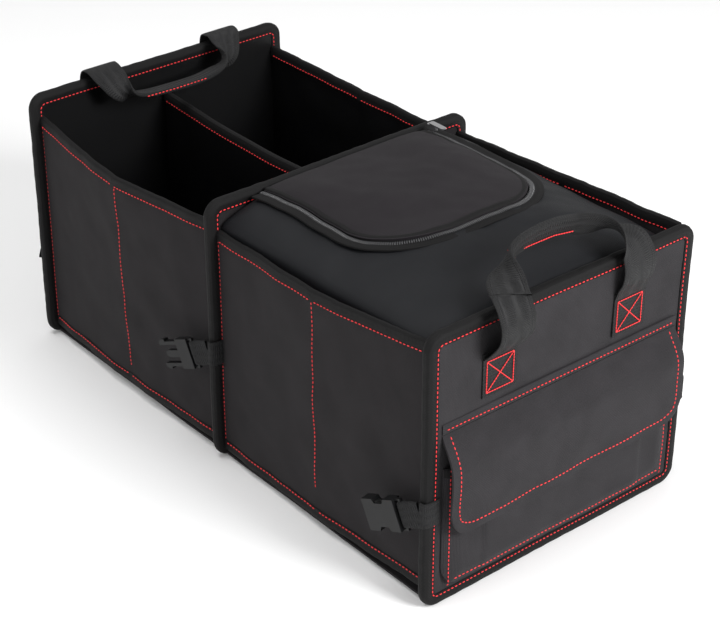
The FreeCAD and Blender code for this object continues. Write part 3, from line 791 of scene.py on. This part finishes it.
def lid_outline(grow):
    """Walks the lid's D shape from back right to back left: at(t) gives X, Y and the way out."""
    half = (LID_HIGH.y - LID_LOW.y) / 2 + grow
    radius = LID_ROUND + grow
    front = LID_HIGH.x + grow
    leg = front - radius - LID_LOW.x
    arc = math.pi / 2 * radius
    brow = 2 * (half - radius)
    total = 2 * leg + 2 * arc + brow

    def at(t):
        distance = t * total
        if distance < leg:
            return LID_LOW.x + distance, half, 0.0, 1.0
        distance -= leg
        if distance < arc:
            turn = distance / radius
            return (front - radius + radius * math.sin(turn), half - radius + radius * math.cos(turn),
                    math.sin(turn), math.cos(turn))
        distance -= arc
        if distance < brow:
            return front, half - radius - distance, 1.0, 0.0
        distance -= brow
        if distance < arc:
            turn = distance / radius
            return (front - radius + radius * math.cos(turn), radius - half - radius * math.sin(turn),
                    math.cos(turn), -math.sin(turn))
        return front - radius - (distance - arc), -half, 0.0, -1.0
    at.total = total
    return at


def build_lid():
    middle_x = (LID_LOW.x + LID_HIGH.x) / 2
    half_long, half_wide, radius = (LID_HIGH.x - LID_LOW.x) / 2, LID_HIGH.y, LID_ROUND

    def place(u, v):
        x, y = (2 * u - 1) * half_long, (2 * v - 1) * half_wide
        over_x, over_y = x - (half_long - radius), abs(y) - (half_wide - radius)
        if over_x > 0 and over_y > 0:
            a, b = over_x / radius, over_y / radius
            x = half_long - radius + radius * a * math.sqrt(1 - b * b / 2)
            y = math.copysign(half_wide - radius + radius * b * math.sqrt(1 - a * a / 2), y)
        edge = min(1, min(half_long - x, half_wide - abs(y)) / 10)
        x += middle_x
        z = dome_height(x, y) + 2.2 + 1.4 * max(edge, 0) ** 0.5 + ripple((x, y, 12), 50, 1.2) * max(edge, 0)
        return x, y, z
    lid = cloth_grid("lid_cloth", 60, 60, place, 2 * half_long, 2 * half_wide, "lid_cloth", thick=2.2)
    carry(lid, "lid", ("lid_flap",))

    def rail_at(grow, lift):
        outline = lid_outline(grow)

        def rail(t):
            x, y, out_x, out_y = outline(t)
            return Vector((x, y, dome_height(x, y) + lift)), Vector((out_x, out_y, 0)), Vector((0, 0, 1))
        return rail, outline.total
    rail, length = rail_at(0, 2.4)
    cord = [(-7.0, 1.4), (-6.4, 2.4), (-4.0, 3.2), (-1.4, 2.6), (-0.2, 1.2), (-0.1, -0.6), (-0.6, -1.8)]
    piping = band("lid_piping_tape", rail, 240, cord, length, "edge_tape")
    carry(piping, "lid", ("lid_piping",))

    rail, length = rail_at(0, 0)
    flat_tape = [(0.8, 0.6), (1.0, 1.7), (6.0, 1.7), (13.0, 1.9), (14.2, 1.6), (14.4, 0.2)]
    tape = band("zip_tape_cloth", rail, 240, flat_tape, length, "zip_tape")
    carry(tape, "root", ("zip_tape",))

    # the closed coil: one low rib for each pair of teeth, set across the tape
    outline = lid_outline(3.3)
    corners, faces = STITCH
    made_corners, made_faces = [], []
    count = round(outline.total / 2.0)
    for number in range(count):
        x, y, out_x, out_y = outline((number + 0.5) / count)
        out, ahead, up = Vector((out_x, out_y, 0)), Vector((-out_y, out_x, 0)), Vector((0, 0, 1))
        centre = Vector((x, y, dome_height(x, y) + 2.3))
        start = len(made_corners)
        for corner in corners:
            made_corners.append((centre + out * corner.x * COIL_HALF.x + ahead * corner.y * COIL_HALF.y
                                 + up * corner.z * COIL_HALF.z) * MM)
        made_faces += [tuple(start + index for index in face) for face in faces]
    mesh = bpy.data.meshes.new("zip_coil_teeth")
    mesh.from_pydata(made_corners, [], made_faces)
    for polygon in mesh.polygons:
        polygon.use_smooth = True
    mesh.materials.append(finish_of("zip_coil"))
    coil = bpy.data.objects.new("zip_coil_teeth", mesh)
    bpy.context.scene.collection.objects.link(coil)
    carry(coil, "root", ("zip_coil",))
    for piece in (lid, piping, tape, coil):
        crumple(piece)


def build_liner():
    """The foil-faced liner, cut into walls that fold with the panels they hang on, and a floor."""
    low, high = span("cooler_liner")
    bottom, top = low.z + 1, high.z - 2
    half_wide = min(-low.y, high.y) - 2
    for side, hand in SIDES:
        for half, start, end in (("inner", low.x + 4, CREASE - 3), ("outer", CREASE + 3, high.x - 4)):
            def place(u, v, start=start, end=end, side=side, hand=hand):
                x = start + (end - start) * u
                z = bottom + 4 + (top - bottom - 24) * v
                return x, side_surface("cooler", side, x, z) - hand * 3.6, z
            wall = cloth_grid("cooler_liner_%s_%s_wall" % (side, half), 12, 16, place, end - start,
                              top - bottom, "foil", thick=1.2)
            carry(wall, "cooler_%s_%s" % (side, half))
            flatten(wall)
    for body, x in (("root", low.x + 0.9), ("front_panel", high.x - 1.4)):
        def place(u, v, x=x):
            unevenness = ripple((x, u * 270, v * 230), 30, 0.4)
            return x + unevenness, (2 * u - 1) * half_wide, bottom + (top - bottom - 4) * v
        wall = cloth_grid("cooler_liner_%s_wall" % body, 20, 20, place, 2 * half_wide, top - bottom, "foil",
                          thick=1.2)
        carry(wall, body, ("cooler_liner",) if body == "root" else ())

    def place(u, v):
        x, y = low.x + 2 + (high.x - low.x - 4) * u, (2 * v - 1) * half_wide
        return x, y, bottom + ripple((x, y, 2), 40, 0.6)
    floor = cloth_grid("cooler_liner_base", 24, 24, place, high.x - low.x, 2 * half_wide, "foil", thick=1.2)
    carry(floor, "root")
    crumple(floor)


# ---------------------------------------------------------------- flap pocket

def build_pocket():
    half, low, high = POCKET_HIGH.y, POCKET_LOW.z, POCKET_HIGH.z
    depth = POCKET_HIGH.x - FRONT_FACE

    def surface(y, z):
        from_edge = min(half - abs(y), z - low + 3)
        swell = min(1, max(0, from_edge) / 16) ** 0.6
        pleat = 1.6 / (1 + math.exp((abs(y) - 95) * 1.2)) - 1.6
        return FRONT_FACE + 0.8 + (depth - 2.6) * swell + pleat * swell + ripple((5, y, z), 34, 1.6) * swell

    def place(u, v):
        y = (2 * u - 1) * half
        z = low + (high - low) * v
        if v < 0.16:
            round_in = 14 * (1 - math.sqrt(max(0, 1 - ((0.16 - v) / 0.16) ** 2)))
            y = math.copysign(min(abs(y), half - round_in), y)
        return surface(y, z), y, z
    bag = cloth_grid("pocket_cloth", 90, 44, place, 2 * half, high - low, "panel_cloth", thick=1.2)
    carry(bag, "front_panel", ("pocket_body",))

    def rail(t):
        y = (2 * t - 1) * half
        return Vector((surface(y, high), y, high)), Vector((0, 0, -1)), Vector((1, 0, 0))
    tape = band("pocket_mouth_tape", rail, 90, folded_tape(9, 1.3), 2 * half, "edge_tape")
    carry(tape, "front_panel")
    seams = []
    for hand in (-1, 1):
        seams.append([((surface(hand * 131, 18 + 2 * step) + 0.9, hand * 131, 18 + 2 * step), (1, 0, 0))
                      for step in range(62)])
    seams.append([((surface(y, low + 6) + 0.9, y, low + 6), (1, 0, 0)) for y in range(-126, 127, 4)])
    carry(sew("pocket_thread", seams), "front_panel")


FLAP_PATH = line_through([(FRONT_FACE + 0.4, 173.0), (302.5, 167), (309.5, 156), (314.0, 145), (315.0, 132),
                          (314.6, 112), (314.2, 96), (314.0, 80)])


def flap_point(y, v):
    x, z = FLAP_PATH(v)
    droop = v ** 2 * (y / 138) * 3.5
    loose = ripple((9, y, z), 42, 2.2) * v + ripple((9, y, z), 15, 0.5) * v
    return Vector((x + min(loose, 1.2), y, z + droop))


def flap_edges(y, v, half=138.0, round_v=0.24, round_y=20.0):
    """Draws the flap's two lower corners in to their radius."""
    over_y, over_v = abs(y) - (half - round_y), v - (1 - round_v)
    if over_y > 0 and over_v > 0:
        a, b = over_y / round_y, over_v / round_v
        y = math.copysign(half - round_y + round_y * a * math.sqrt(1 - b * b / 2), y)
        v = 1 - round_v + round_v * b * math.sqrt(1 - a * a / 2)
    return y, v


def build_flap():
    half = FLAP_HIGH.y

    def place(u, v):
        y, down = flap_edges((2 * u - 1) * half, v)
        return flap_point(y, down)
    flap = cloth_grid("flap_cloth", 90, 40, place, 2 * half, 105, "panel_cloth", thick=2.2)
    carry(flap, "pocket_flap", ("pocket_flap",))

    def edge_at(inset):
        points = []
        for step in range(121):
            t = step / 120
            if t < 0.25:
                u, v = 0.0, 0.06 + 0.94 * t / 0.25
            elif t < 0.75:
                u, v = (t - 0.25) / 0.5, 1.0
            else:
                u, v = 1.0, 1 - 0.94 * (t - 0.75) / 0.25
            y, down = (2 * u - 1) * (half - inset), 1 - (1 - v) - inset / 105 * v
            y, down = flap_edges(y, min(down, 1 - inset / 105), half - inset)
            points.append((flap_point(y, down) + Vector((1.3, 0, 0)), (1, 0, 0.15)))
        return points
    carry(sew("flap_thread", [edge_at(8)]), "pocket_flap")

    def hem_rail(t):
        y = (2 * t - 1) * half
        return Vector((FRONT_FACE + 0.9, y, 184)), Vector((0, 0, -1)), Vector((1, 0, 0))
    flat = [(0, -0.6), (0.2, 0.5), (1.5, 0.9), (5, 1.0), (7.5, 1.0), (9.0, 0.9), (10.0, 0.3)]
    hem = band("flap_hem_tape", hem_rail, 80, flat, 2 * half, "panel_cloth")
    carry(hem, "front_panel")
    seams = [[((FRONT_FACE + 2.2, y, z), (1, 0, 0)) for y in range(-134, 135, 4)] for z in (178,)]
    carry(sew("flap_hem_thread", seams), "front_panel")


def build_closures():
    for node, body in (("pocket_loop_strip", "front_panel"), ("pocket_hook_strip", "pocket_flap")):
        low, high = span(node)

        def place(u, v, low=low, high=high):
            return (low.x + high.x) / 2, low.y + (high.y - low.y) * u, low.z + (high.z - low.z) * v
        strip = cloth_grid(node + "_pile", 40, 8, place, high.y - low.y, high.z - low.z, "pile", thick=0.8)
        carry(strip, body, (node,))


# ---------------------------------------------------------------- carry handles

def leg_patch(name, x, out, y, low, high):
    """The sewn-down end of a handle, as a strip of webbing."""
    def place(u, v):
        lift = 0.8 + ripple((x, y + u * 38, v * 40), 12, 0.3)
        return x + out * lift, y - 19 + 38 * u, low + (high - low) * v
    return cloth_grid(name, 20, 20, place, high - low, 38, "webbing", thick=1.6)


def box_cross(x, out, y, low, high):
    """A box with a cross in it, as six seams."""
    def at(a, b):
        return ((x + out * 1.9, y + a, b), (out, 0, 0))
    near, far = -15, 15
    bottom, top = low + 4, high - 4
    corners = [at(near, bottom), at(far, bottom), at(far, top), at(near, top)]
    return [[corners[a], corners[b]] for a, b in ((0, 1), (1, 2), (2, 3), (3, 0), (0, 2), (1, 3))]


def build_handles():
    legs = 76
    # front: sewn-down ends, then a loop that bows out and leans back over the lid
    low, high = span("front_handle_anchors")
    seams = []
    patches = []
    for side, hand in SIDES:
        patches.append(leg_patch("front_handle_%s_end" % side, FRONT_FACE, 1, hand * legs, low.z, high.z + 2))
        seams += box_cross(FRONT_FACE, 1, hand * legs, low.z, high.z - 2)
    for number, patch in enumerate(patches):
        carry(patch, "front_panel", ("front_handle_anchors",) if number == 0 else ())
    carry(sew("front_handle_anchor_thread", seams, DENSE), "front_panel")

    side, side_back = (0, 1, 0), (0, -1, 0)
    stations = [
        ((300.4, -76, 229), side, 19, 0.9), ((309, -76, 238), side, 19, 0.9),
        ((318.5, -76, 252), side, 19, 0.9), ((320, -76, 266), side, 19, 0.9),
        ((314, -75.5, 279), side, 19, 0.9), ((308.5, -75, 285.5), side, 19, 0.9),
        ((306, -74, 287), (0, 1, 0.05), 18.5, 1.0), ((298, -71, 293), (0.1, 0.95, 0.35), 16.5, 1.5),
        ((287, -62, 301), (0.2, 0.6, 0.8), 12.5, 2.3), ((280, -46, 306.5), (0.25, 0.15, 1), 10, 2.9),
        ((277, -24, 309.3), (0.3, 0, 1), 9.6, 3.0), ((277.5, 0, 309.8), (0.3, 0, 1), 9.6, 3.0),
        ((280, 20, 307.6), (0.3, -0.05, 1), 9.8, 2.8), ((282, 27, 306), (0.35, -0.1, 1), 12.5, 1.6),
        ((286, 44, 301), (0.55, -0.3, 0.9), 16.0, 1.0), ((293, 60, 294), (0.5, -0.7, 0.5), 17.8, 0.9),
        ((303, 72, 281), (0.1, -1, 0.1), 18.8, 0.9), ((309, 76, 264), side_back, 19, 0.9),
        ((308.5, 76, 249), side_back, 19, 0.9), ((303.5, 76, 238), side_back, 19, 0.9),
        ((300.4, 76, 229), side_back, 19, 0.9)]
    loop = webbing("front_handle_webbing", stations, "webbing", 330, steps=160, around=28)
    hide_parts("front_handle_loop")
    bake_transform(loop)
    seam = [((272.6, -46, 302.2), (-1, 0, -0.2)), ((272.6, -22, 302.6), (-1, 0, 0)),
            ((273.4, 0, 303.0), (-1, 0, 0)), ((276.0, 20, 301.4), (-1, 0, 0))]
    front_seam = [((x + 6.2, y, z), (1, 0, 0)) for (x, y, z), n in seam]
    carry(sew("front_handle_grip_thread", [seam, front_seam], DENSE), "front_handle")

    # far: outside legs, then a loop that passes over the rim and hangs inside the bay
    low, high = span("far_handle_legs")
    seams = []
    for number, (side_name, hand) in enumerate(SIDES):
        patch = leg_patch("far_handle_%s_end" % side_name, -FRONT_FACE, -1, hand * legs, low.z, high.z)
        carry(patch, "far_panel", ("far_handle_legs",) if number == 0 else ())
        seams += box_cross(-FRONT_FACE, -1, hand * legs, low.z, low.z + 36)
    carry(sew("far_handle_anchor_thread", seams, DENSE), "far_panel")
    stations = [
        ((-301.0, -72, 256), side, 19, 0.9), ((-301.4, -72, 270), side, 19, 0.9),
        ((-297, -72, 280), side, 19, 0.9), ((-288, -72, 281.5), side, 18.5, 1.0),
        ((-277, -70, 275), (0.1, 1, 0), 17, 1.2),
        ((-264, -64, 263), (0.5, 0.9, 0), 12, 1.8), ((-256, -45, 257.5), (1, 0.3, 0.1), 8.5, 2.6),
        ((-254, -12, 256), (1, 0, 0.1), 8.2, 2.8), ((-254, 25, 256.5), (1, 0, 0.1), 8.4, 2.7),
        ((-260, 52, 260), (0.8, -0.6, 0.1), 11, 2.0), ((-271, 68, 268), (0.3, -1, 0), 15, 1.4),
        ((-283, 74, 279), (0, -1, 0), 18, 1.1), ((-291, 75, 281.5), (0, -1, 0), 19, 1.0),
        ((-298.5, 75, 279), (0, -1, 0), 19, 0.9), ((-301.4, 75, 269), (0, -1, 0), 19, 0.9),
        ((-301.0, 75, 256), (0, -1, 0), 19, 0.9)]
    loop = webbing("far_handle_webbing", stations, "webbing", 310, steps=120, around=20)
    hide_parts("far_handle_loop")
    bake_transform(loop)
    grip = ((-246.5, -48, 258), (-245.6, -12, 257.4), (-245.6, 25, 257.8))
    seam = [(point, (1, 0, 0.4)) for point in grip]
    carry(sew("far_handle_grip_thread", [seam]), "far_handle")


# ---------------------------------------------------------------- buckles and their straps

def strap_frame(place, side):
    """The strap's seat on the panel edge and the way that it points, as in the CAD."""
    hand = dict(SIDES)[side]
    droop, stand_off = math.radians(22), math.radians(10)
    if place == "far":
        heading = -hand * (math.radians(90) + stand_off)
        seat = Vector((-301.7, hand * 150.9, 101))
    else:
        heading = math.pi - hand * stand_off
        seat = Vector((0.0 if place == "mid" else PANEL_X["front_panel"] + 1.5, hand * (PANEL_HALF + 1.7),
                       118.0 if place == "mid" else 101.0))
    turn = Matrix.Rotation(heading, 4, "Z") @ Matrix.Rotation(droop, 4, "Y")
    return Matrix.Translation(seat) @ turn, seat


def build_strap(place, side):
    hand = dict(SIDES)[side]
    matrix, seat = strap_frame(place, side)
    parent = {"front": "front_panel", "far": "far_panel", "mid": "root"}[place]
    body = "%s_%s_buckle" % (place, side)

    def at(along, across):
        return tuple(matrix @ Vector((along, across, 0)))
    across = tuple((matrix.to_3x3() @ Vector((0, 0, 1))))
    sections = ((0.0, 0, 12.5, 1.4), (5, -0.2, 12.5, 1.6), (11, 0, 12.5, 1.9), (16, 0, 12.4, 2.6),
                (19, 0, 12.3, 3.1), (21.6, 0, 12.2, 2.9))
    stations = [(at(along, beside), across, half_wide, half_thick)
                for along, beside, half_wide, half_thick in sections]
    strap = webbing(body + "_webbing", stations, "narrow_webbing", 24, steps=24, around=16)
    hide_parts(body + "_strap")
    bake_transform(strap)

    # the webbing's sewn root lies round the panel's edge
    if place != "far":
        x = PANEL_X["front_panel"] if place == "front" else 0.0
        root = [((x + FACE + 1.2, hand * (PANEL_HALF - 14), seat.z), (0, 0, 1), 12.5, 1.2),
                ((x + FACE + 1.6, hand * (PANEL_HALF - 4), seat.z), (0, 0, 1), 12.5, 1.3),
                ((x + FACE, hand * (PANEL_HALF + 1.2), seat.z), (0, 0, 1), 12.5, 1.3),
                ((x + 1.0, hand * (PANEL_HALF + 2.2), seat.z), (0, 0, 1), 12.5, 1.3),
                (tuple(seat), (0, 0, 1), 12.5, 1.3)]
        tail = webbing(body + "_webbing_root", root, "narrow_webbing", 28, steps=20, around=16)
        carry(tail, parent)


# ---------------------------------------------------------------- operators

def dress_frame():
    """The CAD nodes that show keep their shape and get their finish."""
    for name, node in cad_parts.items():
        if node.hide_render:
            continue
        if "buckle" in name:
            finish = "buckle_plastic"
        elif name.startswith("zip_"):
            finish = "zip_metal"
        else:
            finish = "board"
        node.data.materials.clear()
        node.data.materials.append(finish_of(finish))


class OrganiserFinishes(bpy.types.Operator):
    """Makes the materials"""
    bl_idname = "organiser.finishes"
    bl_label = "Finishes"

    def execute(self, context):
        tint = context.scene.organiser_colours
        weave_group()
        grain_group()
        cloth_material("panel_cloth", tint.panel, 1.3 * MM, 1.3 * MM, 0.0006, contrast=0.75, sheen=0.03)
        # The side cloth is the panel cloth with painted shade: the same weave, its colour darkened for the
        # faces in shade
        cloth_material("painted_shade_cloth", tint.side, 1.3 * MM, 1.3 * MM, 0.0005, contrast=0.6, sheen=0.02)
        cloth_material("top_cloth", tint.top, 0.8 * MM, 0.8 * MM, 0.0002, roughness=0.55, contrast=0.2,
                       sheen=0.01)
        cloth_material("lid_cloth", tint.lid, 0.9 * MM, 0.9 * MM, 0.0003, contrast=0.3, sheen=0.02)
        cloth_material("edge_tape", tint.tape, 1.5 * MM, 4 * MM, 0.0004, roughness=0.7, contrast=0.3)
        cloth_material("lining", tint.lining, 0.8 * MM, 0.8 * MM, 0.0002, roughness=0.42, contrast=0.2,
                       sheen=0.0)
        cloth_material("webbing", tint.webbing, 1.8 * MM, 3.0 * MM, 0.0016, roughness=0.6, contrast=0.8,
                       sheen=0.02)
        cloth_material("narrow_webbing", tint.webbing, 2.0 * MM, 2.4 * MM, 0.0014, roughness=0.75,
                       contrast=0.6)
        cloth_material("zip_tape", tint.tape, 1.1 * MM, 2.5 * MM, 0.0003, roughness=0.8, contrast=0.25)
        cloth_material("foil", tint.foil, 5 * MM, 5 * MM, 0.0003, roughness=0.3, contrast=0.15, sheen=0.0)
        cloth_material("pile", tint.tape, 0.7 * MM, 0.7 * MM, 0.0008, roughness=0.95, contrast=0.4)
        hard_material("red_thread", tint.thread, 0.55, scale=3000.0, contrast=0.15)
        hard_material("zip_coil", tint.coil, 0.25, scale=2500.0)
        hard_material("buckle_plastic", tint.buckle, 0.42, scale=2600.0, contrast=0.25)
        hard_material("zip_metal", tint.metal, 0.28, metallic=1.0, scale=1500.0, contrast=0.1)
        hard_material("board", tint.board, 0.7, scale=700.0)
        global STITCH
        STITCH = stitch_template()
        return {"FINISHED"}


class OrganiserPanels(bpy.types.Operator):
    """Builds the three bound panels"""
    bl_idname = "organiser.panels"
    bl_label = "Panels"

    def execute(self, context):
        for name, body in (("far_panel", "far_panel"), ("mid_panel", "root"), ("front_panel", "front_panel")):
            # Only the front panel, which faces the key light, gets the panel cloth; the others get the copy
            # darkened by painted shade
            build_panel(name, body, "panel_cloth" if name == "front_panel" else "painted_shade_cloth")
        return {"FINISHED"}


class OrganiserSides(bpy.types.Operator):
    """Builds the folding side panels"""
    bl_idname = "organiser.sides"
    bl_label = "Side panels"

    def execute(self, context):
        for bay, way in BAYS:
            for side, hand in SIDES:
                for half in ("inner", "outer"):
                    build_side_half(bay, way, side, hand, half)
        return {"FINISHED"}


class OrganiserInside(bpy.types.Operator):
    """Builds the floors, base boards, divider and liner"""
    bl_idname = "organiser.inside"
    bl_label = "Floors and divider"

    def execute(self, context):
        for bay, way in BAYS:
            build_floor(bay, way)
        for side, hand in SIDES:
            build_base_board(side)
        build_divider()
        build_liner()
        return {"FINISHED"}


class OrganiserCoolerTop(bpy.types.Operator):
    """Builds the domed top, its lid and its zip"""
    bl_idname = "organiser.cooler_top"
    bl_label = "Cooler top"

    def execute(self, context):
        build_top()
        build_lid()
        return {"FINISHED"}


class OrganiserPocket(bpy.types.Operator):
    """Builds the flap pocket"""
    bl_idname = "organiser.pocket"
    bl_label = "Flap pocket"

    def execute(self, context):
        build_pocket()
        build_flap()
        build_closures()
        return {"FINISHED"}


class OrganiserHandles(bpy.types.Operator):
    """Builds the two carry handles"""
    bl_idname = "organiser.handles"
    bl_label = "Handles"

    def execute(self, context):
        build_handles()
        return {"FINISHED"}


class OrganiserBuckles(bpy.types.Operator):
    """Builds the buckles' straps and finishes the buckles"""
    bl_idname = "organiser.buckles"
    bl_label = "Buckles"

    def execute(self, context):
        for place in ("front", "far", "mid"):
            for side, hand in SIDES:
                build_strap(place, side)
        dress_frame()
        return {"FINISHED"}


class OrganiserStage(bpy.types.Operator):
    """Sets the floor, the lights and the camera"""
    bl_idname = "organiser.stage"
    bl_label = "Stage"

    def execute(self, context):
        deselect()
        bpy.ops.mesh.primitive_plane_add(size=12, location=(0, 0, -0.0006))
        floor = context.object
        floor.name = "studio_floor"
        material, tree, shader = blank_material("studio_floor", 0.95)
        shader.inputs["Base Color"].default_value = (0.86, 0.86, 0.86, 1)
        floor.data.materials.append(material)

        world = context.scene.world or bpy.data.worlds.new("studio")
        context.scene.world = world
        world.use_nodes = True
        world.node_tree.nodes["Background"].inputs["Color"].default_value = (1, 1, 1, 1)
        world.node_tree.nodes["Background"].inputs["Strength"].default_value = 0.5
        for name, place, power, wide in (
                ("key", (2.2, 0.5, 1.5), 80, 1.0), ("fill", (0.2, -2.2, 1.4), 18, 1.6),
                ("top", (-0.4, -0.5, 2.4), 26, 1.2)):
            deselect()
            bpy.ops.object.light_add(type="AREA", location=place)
            lamp = context.object
            lamp.name = "studio_" + name
            lamp.data.energy = power
            lamp.data.size = wide
            lamp.rotation_euler = (Vector((0, 0, 0.12)) - Vector(place)).to_track_quat("-Z", "Y").to_euler()

        deselect()
        bpy.ops.object.camera_add(location=(1.2915, -1.0459, 1.0847))
        camera = context.object
        azimuth, elevation = math.radians(50.37), math.radians(30.60)
        back = Vector((math.sin(azimuth) * math.cos(elevation), -math.cos(azimuth) * math.cos(elevation),
                       math.sin(elevation)))
        right = Vector((math.cos(azimuth), math.sin(azimuth), 0))
        camera.rotation_euler = Matrix((right, back.cross(right), back)).transposed().to_euler()
        camera.data.sensor_width = 36
        camera.data.lens = 99.6
        context.scene.camera = camera
        context.scene.view_settings.view_transform = "Standard"
        return {"FINISHED"}


class OrganiserPanel(bpy.types.Panel):
    """Lists the organiser's pieces"""
    bl_idname = "VIEW3D_PT_organiser"
    bl_label = "Folding boot organiser"
    bl_space_type = "VIEW_3D"
    bl_region_type = "UI"
    bl_category = "Organiser"

    def draw(self, context):
        for group in (context.scene.organiser_sizes, context.scene.organiser_colours):
            for key in group.bl_rna.properties.keys():
                if key not in ("rna_type", "name"):
                    self.layout.prop(group, key)
        for step in BUILD_ORDER:
            self.layout.operator(step.bl_idname)


BUILD_ORDER = (OrganiserFinishes, OrganiserPanels, OrganiserSides, OrganiserInside, OrganiserCoolerTop,
               OrganiserPocket, OrganiserHandles, OrganiserBuckles, OrganiserStage)
CLASSES = (OrganiserSizes, OrganiserColours) + BUILD_ORDER + (OrganiserPanel,)


def register():
    for item in CLASSES:
        bpy.utils.register_class(item)
    bpy.types.Scene.organiser_sizes = bpy.props.PointerProperty(type=OrganiserSizes)
    bpy.types.Scene.organiser_colours = bpy.props.PointerProperty(type=OrganiserColours)


def unregister():
    del bpy.types.Scene.organiser_colours
    del bpy.types.Scene.organiser_sizes
    for item in reversed(CLASSES):
        bpy.utils.unregister_class(item)


def main():
    register()
    for step in BUILD_ORDER:
        group, name = step.bl_idname.split(".")
        getattr(getattr(bpy.ops, group), name)()


if __name__ == "__main__":
    main()
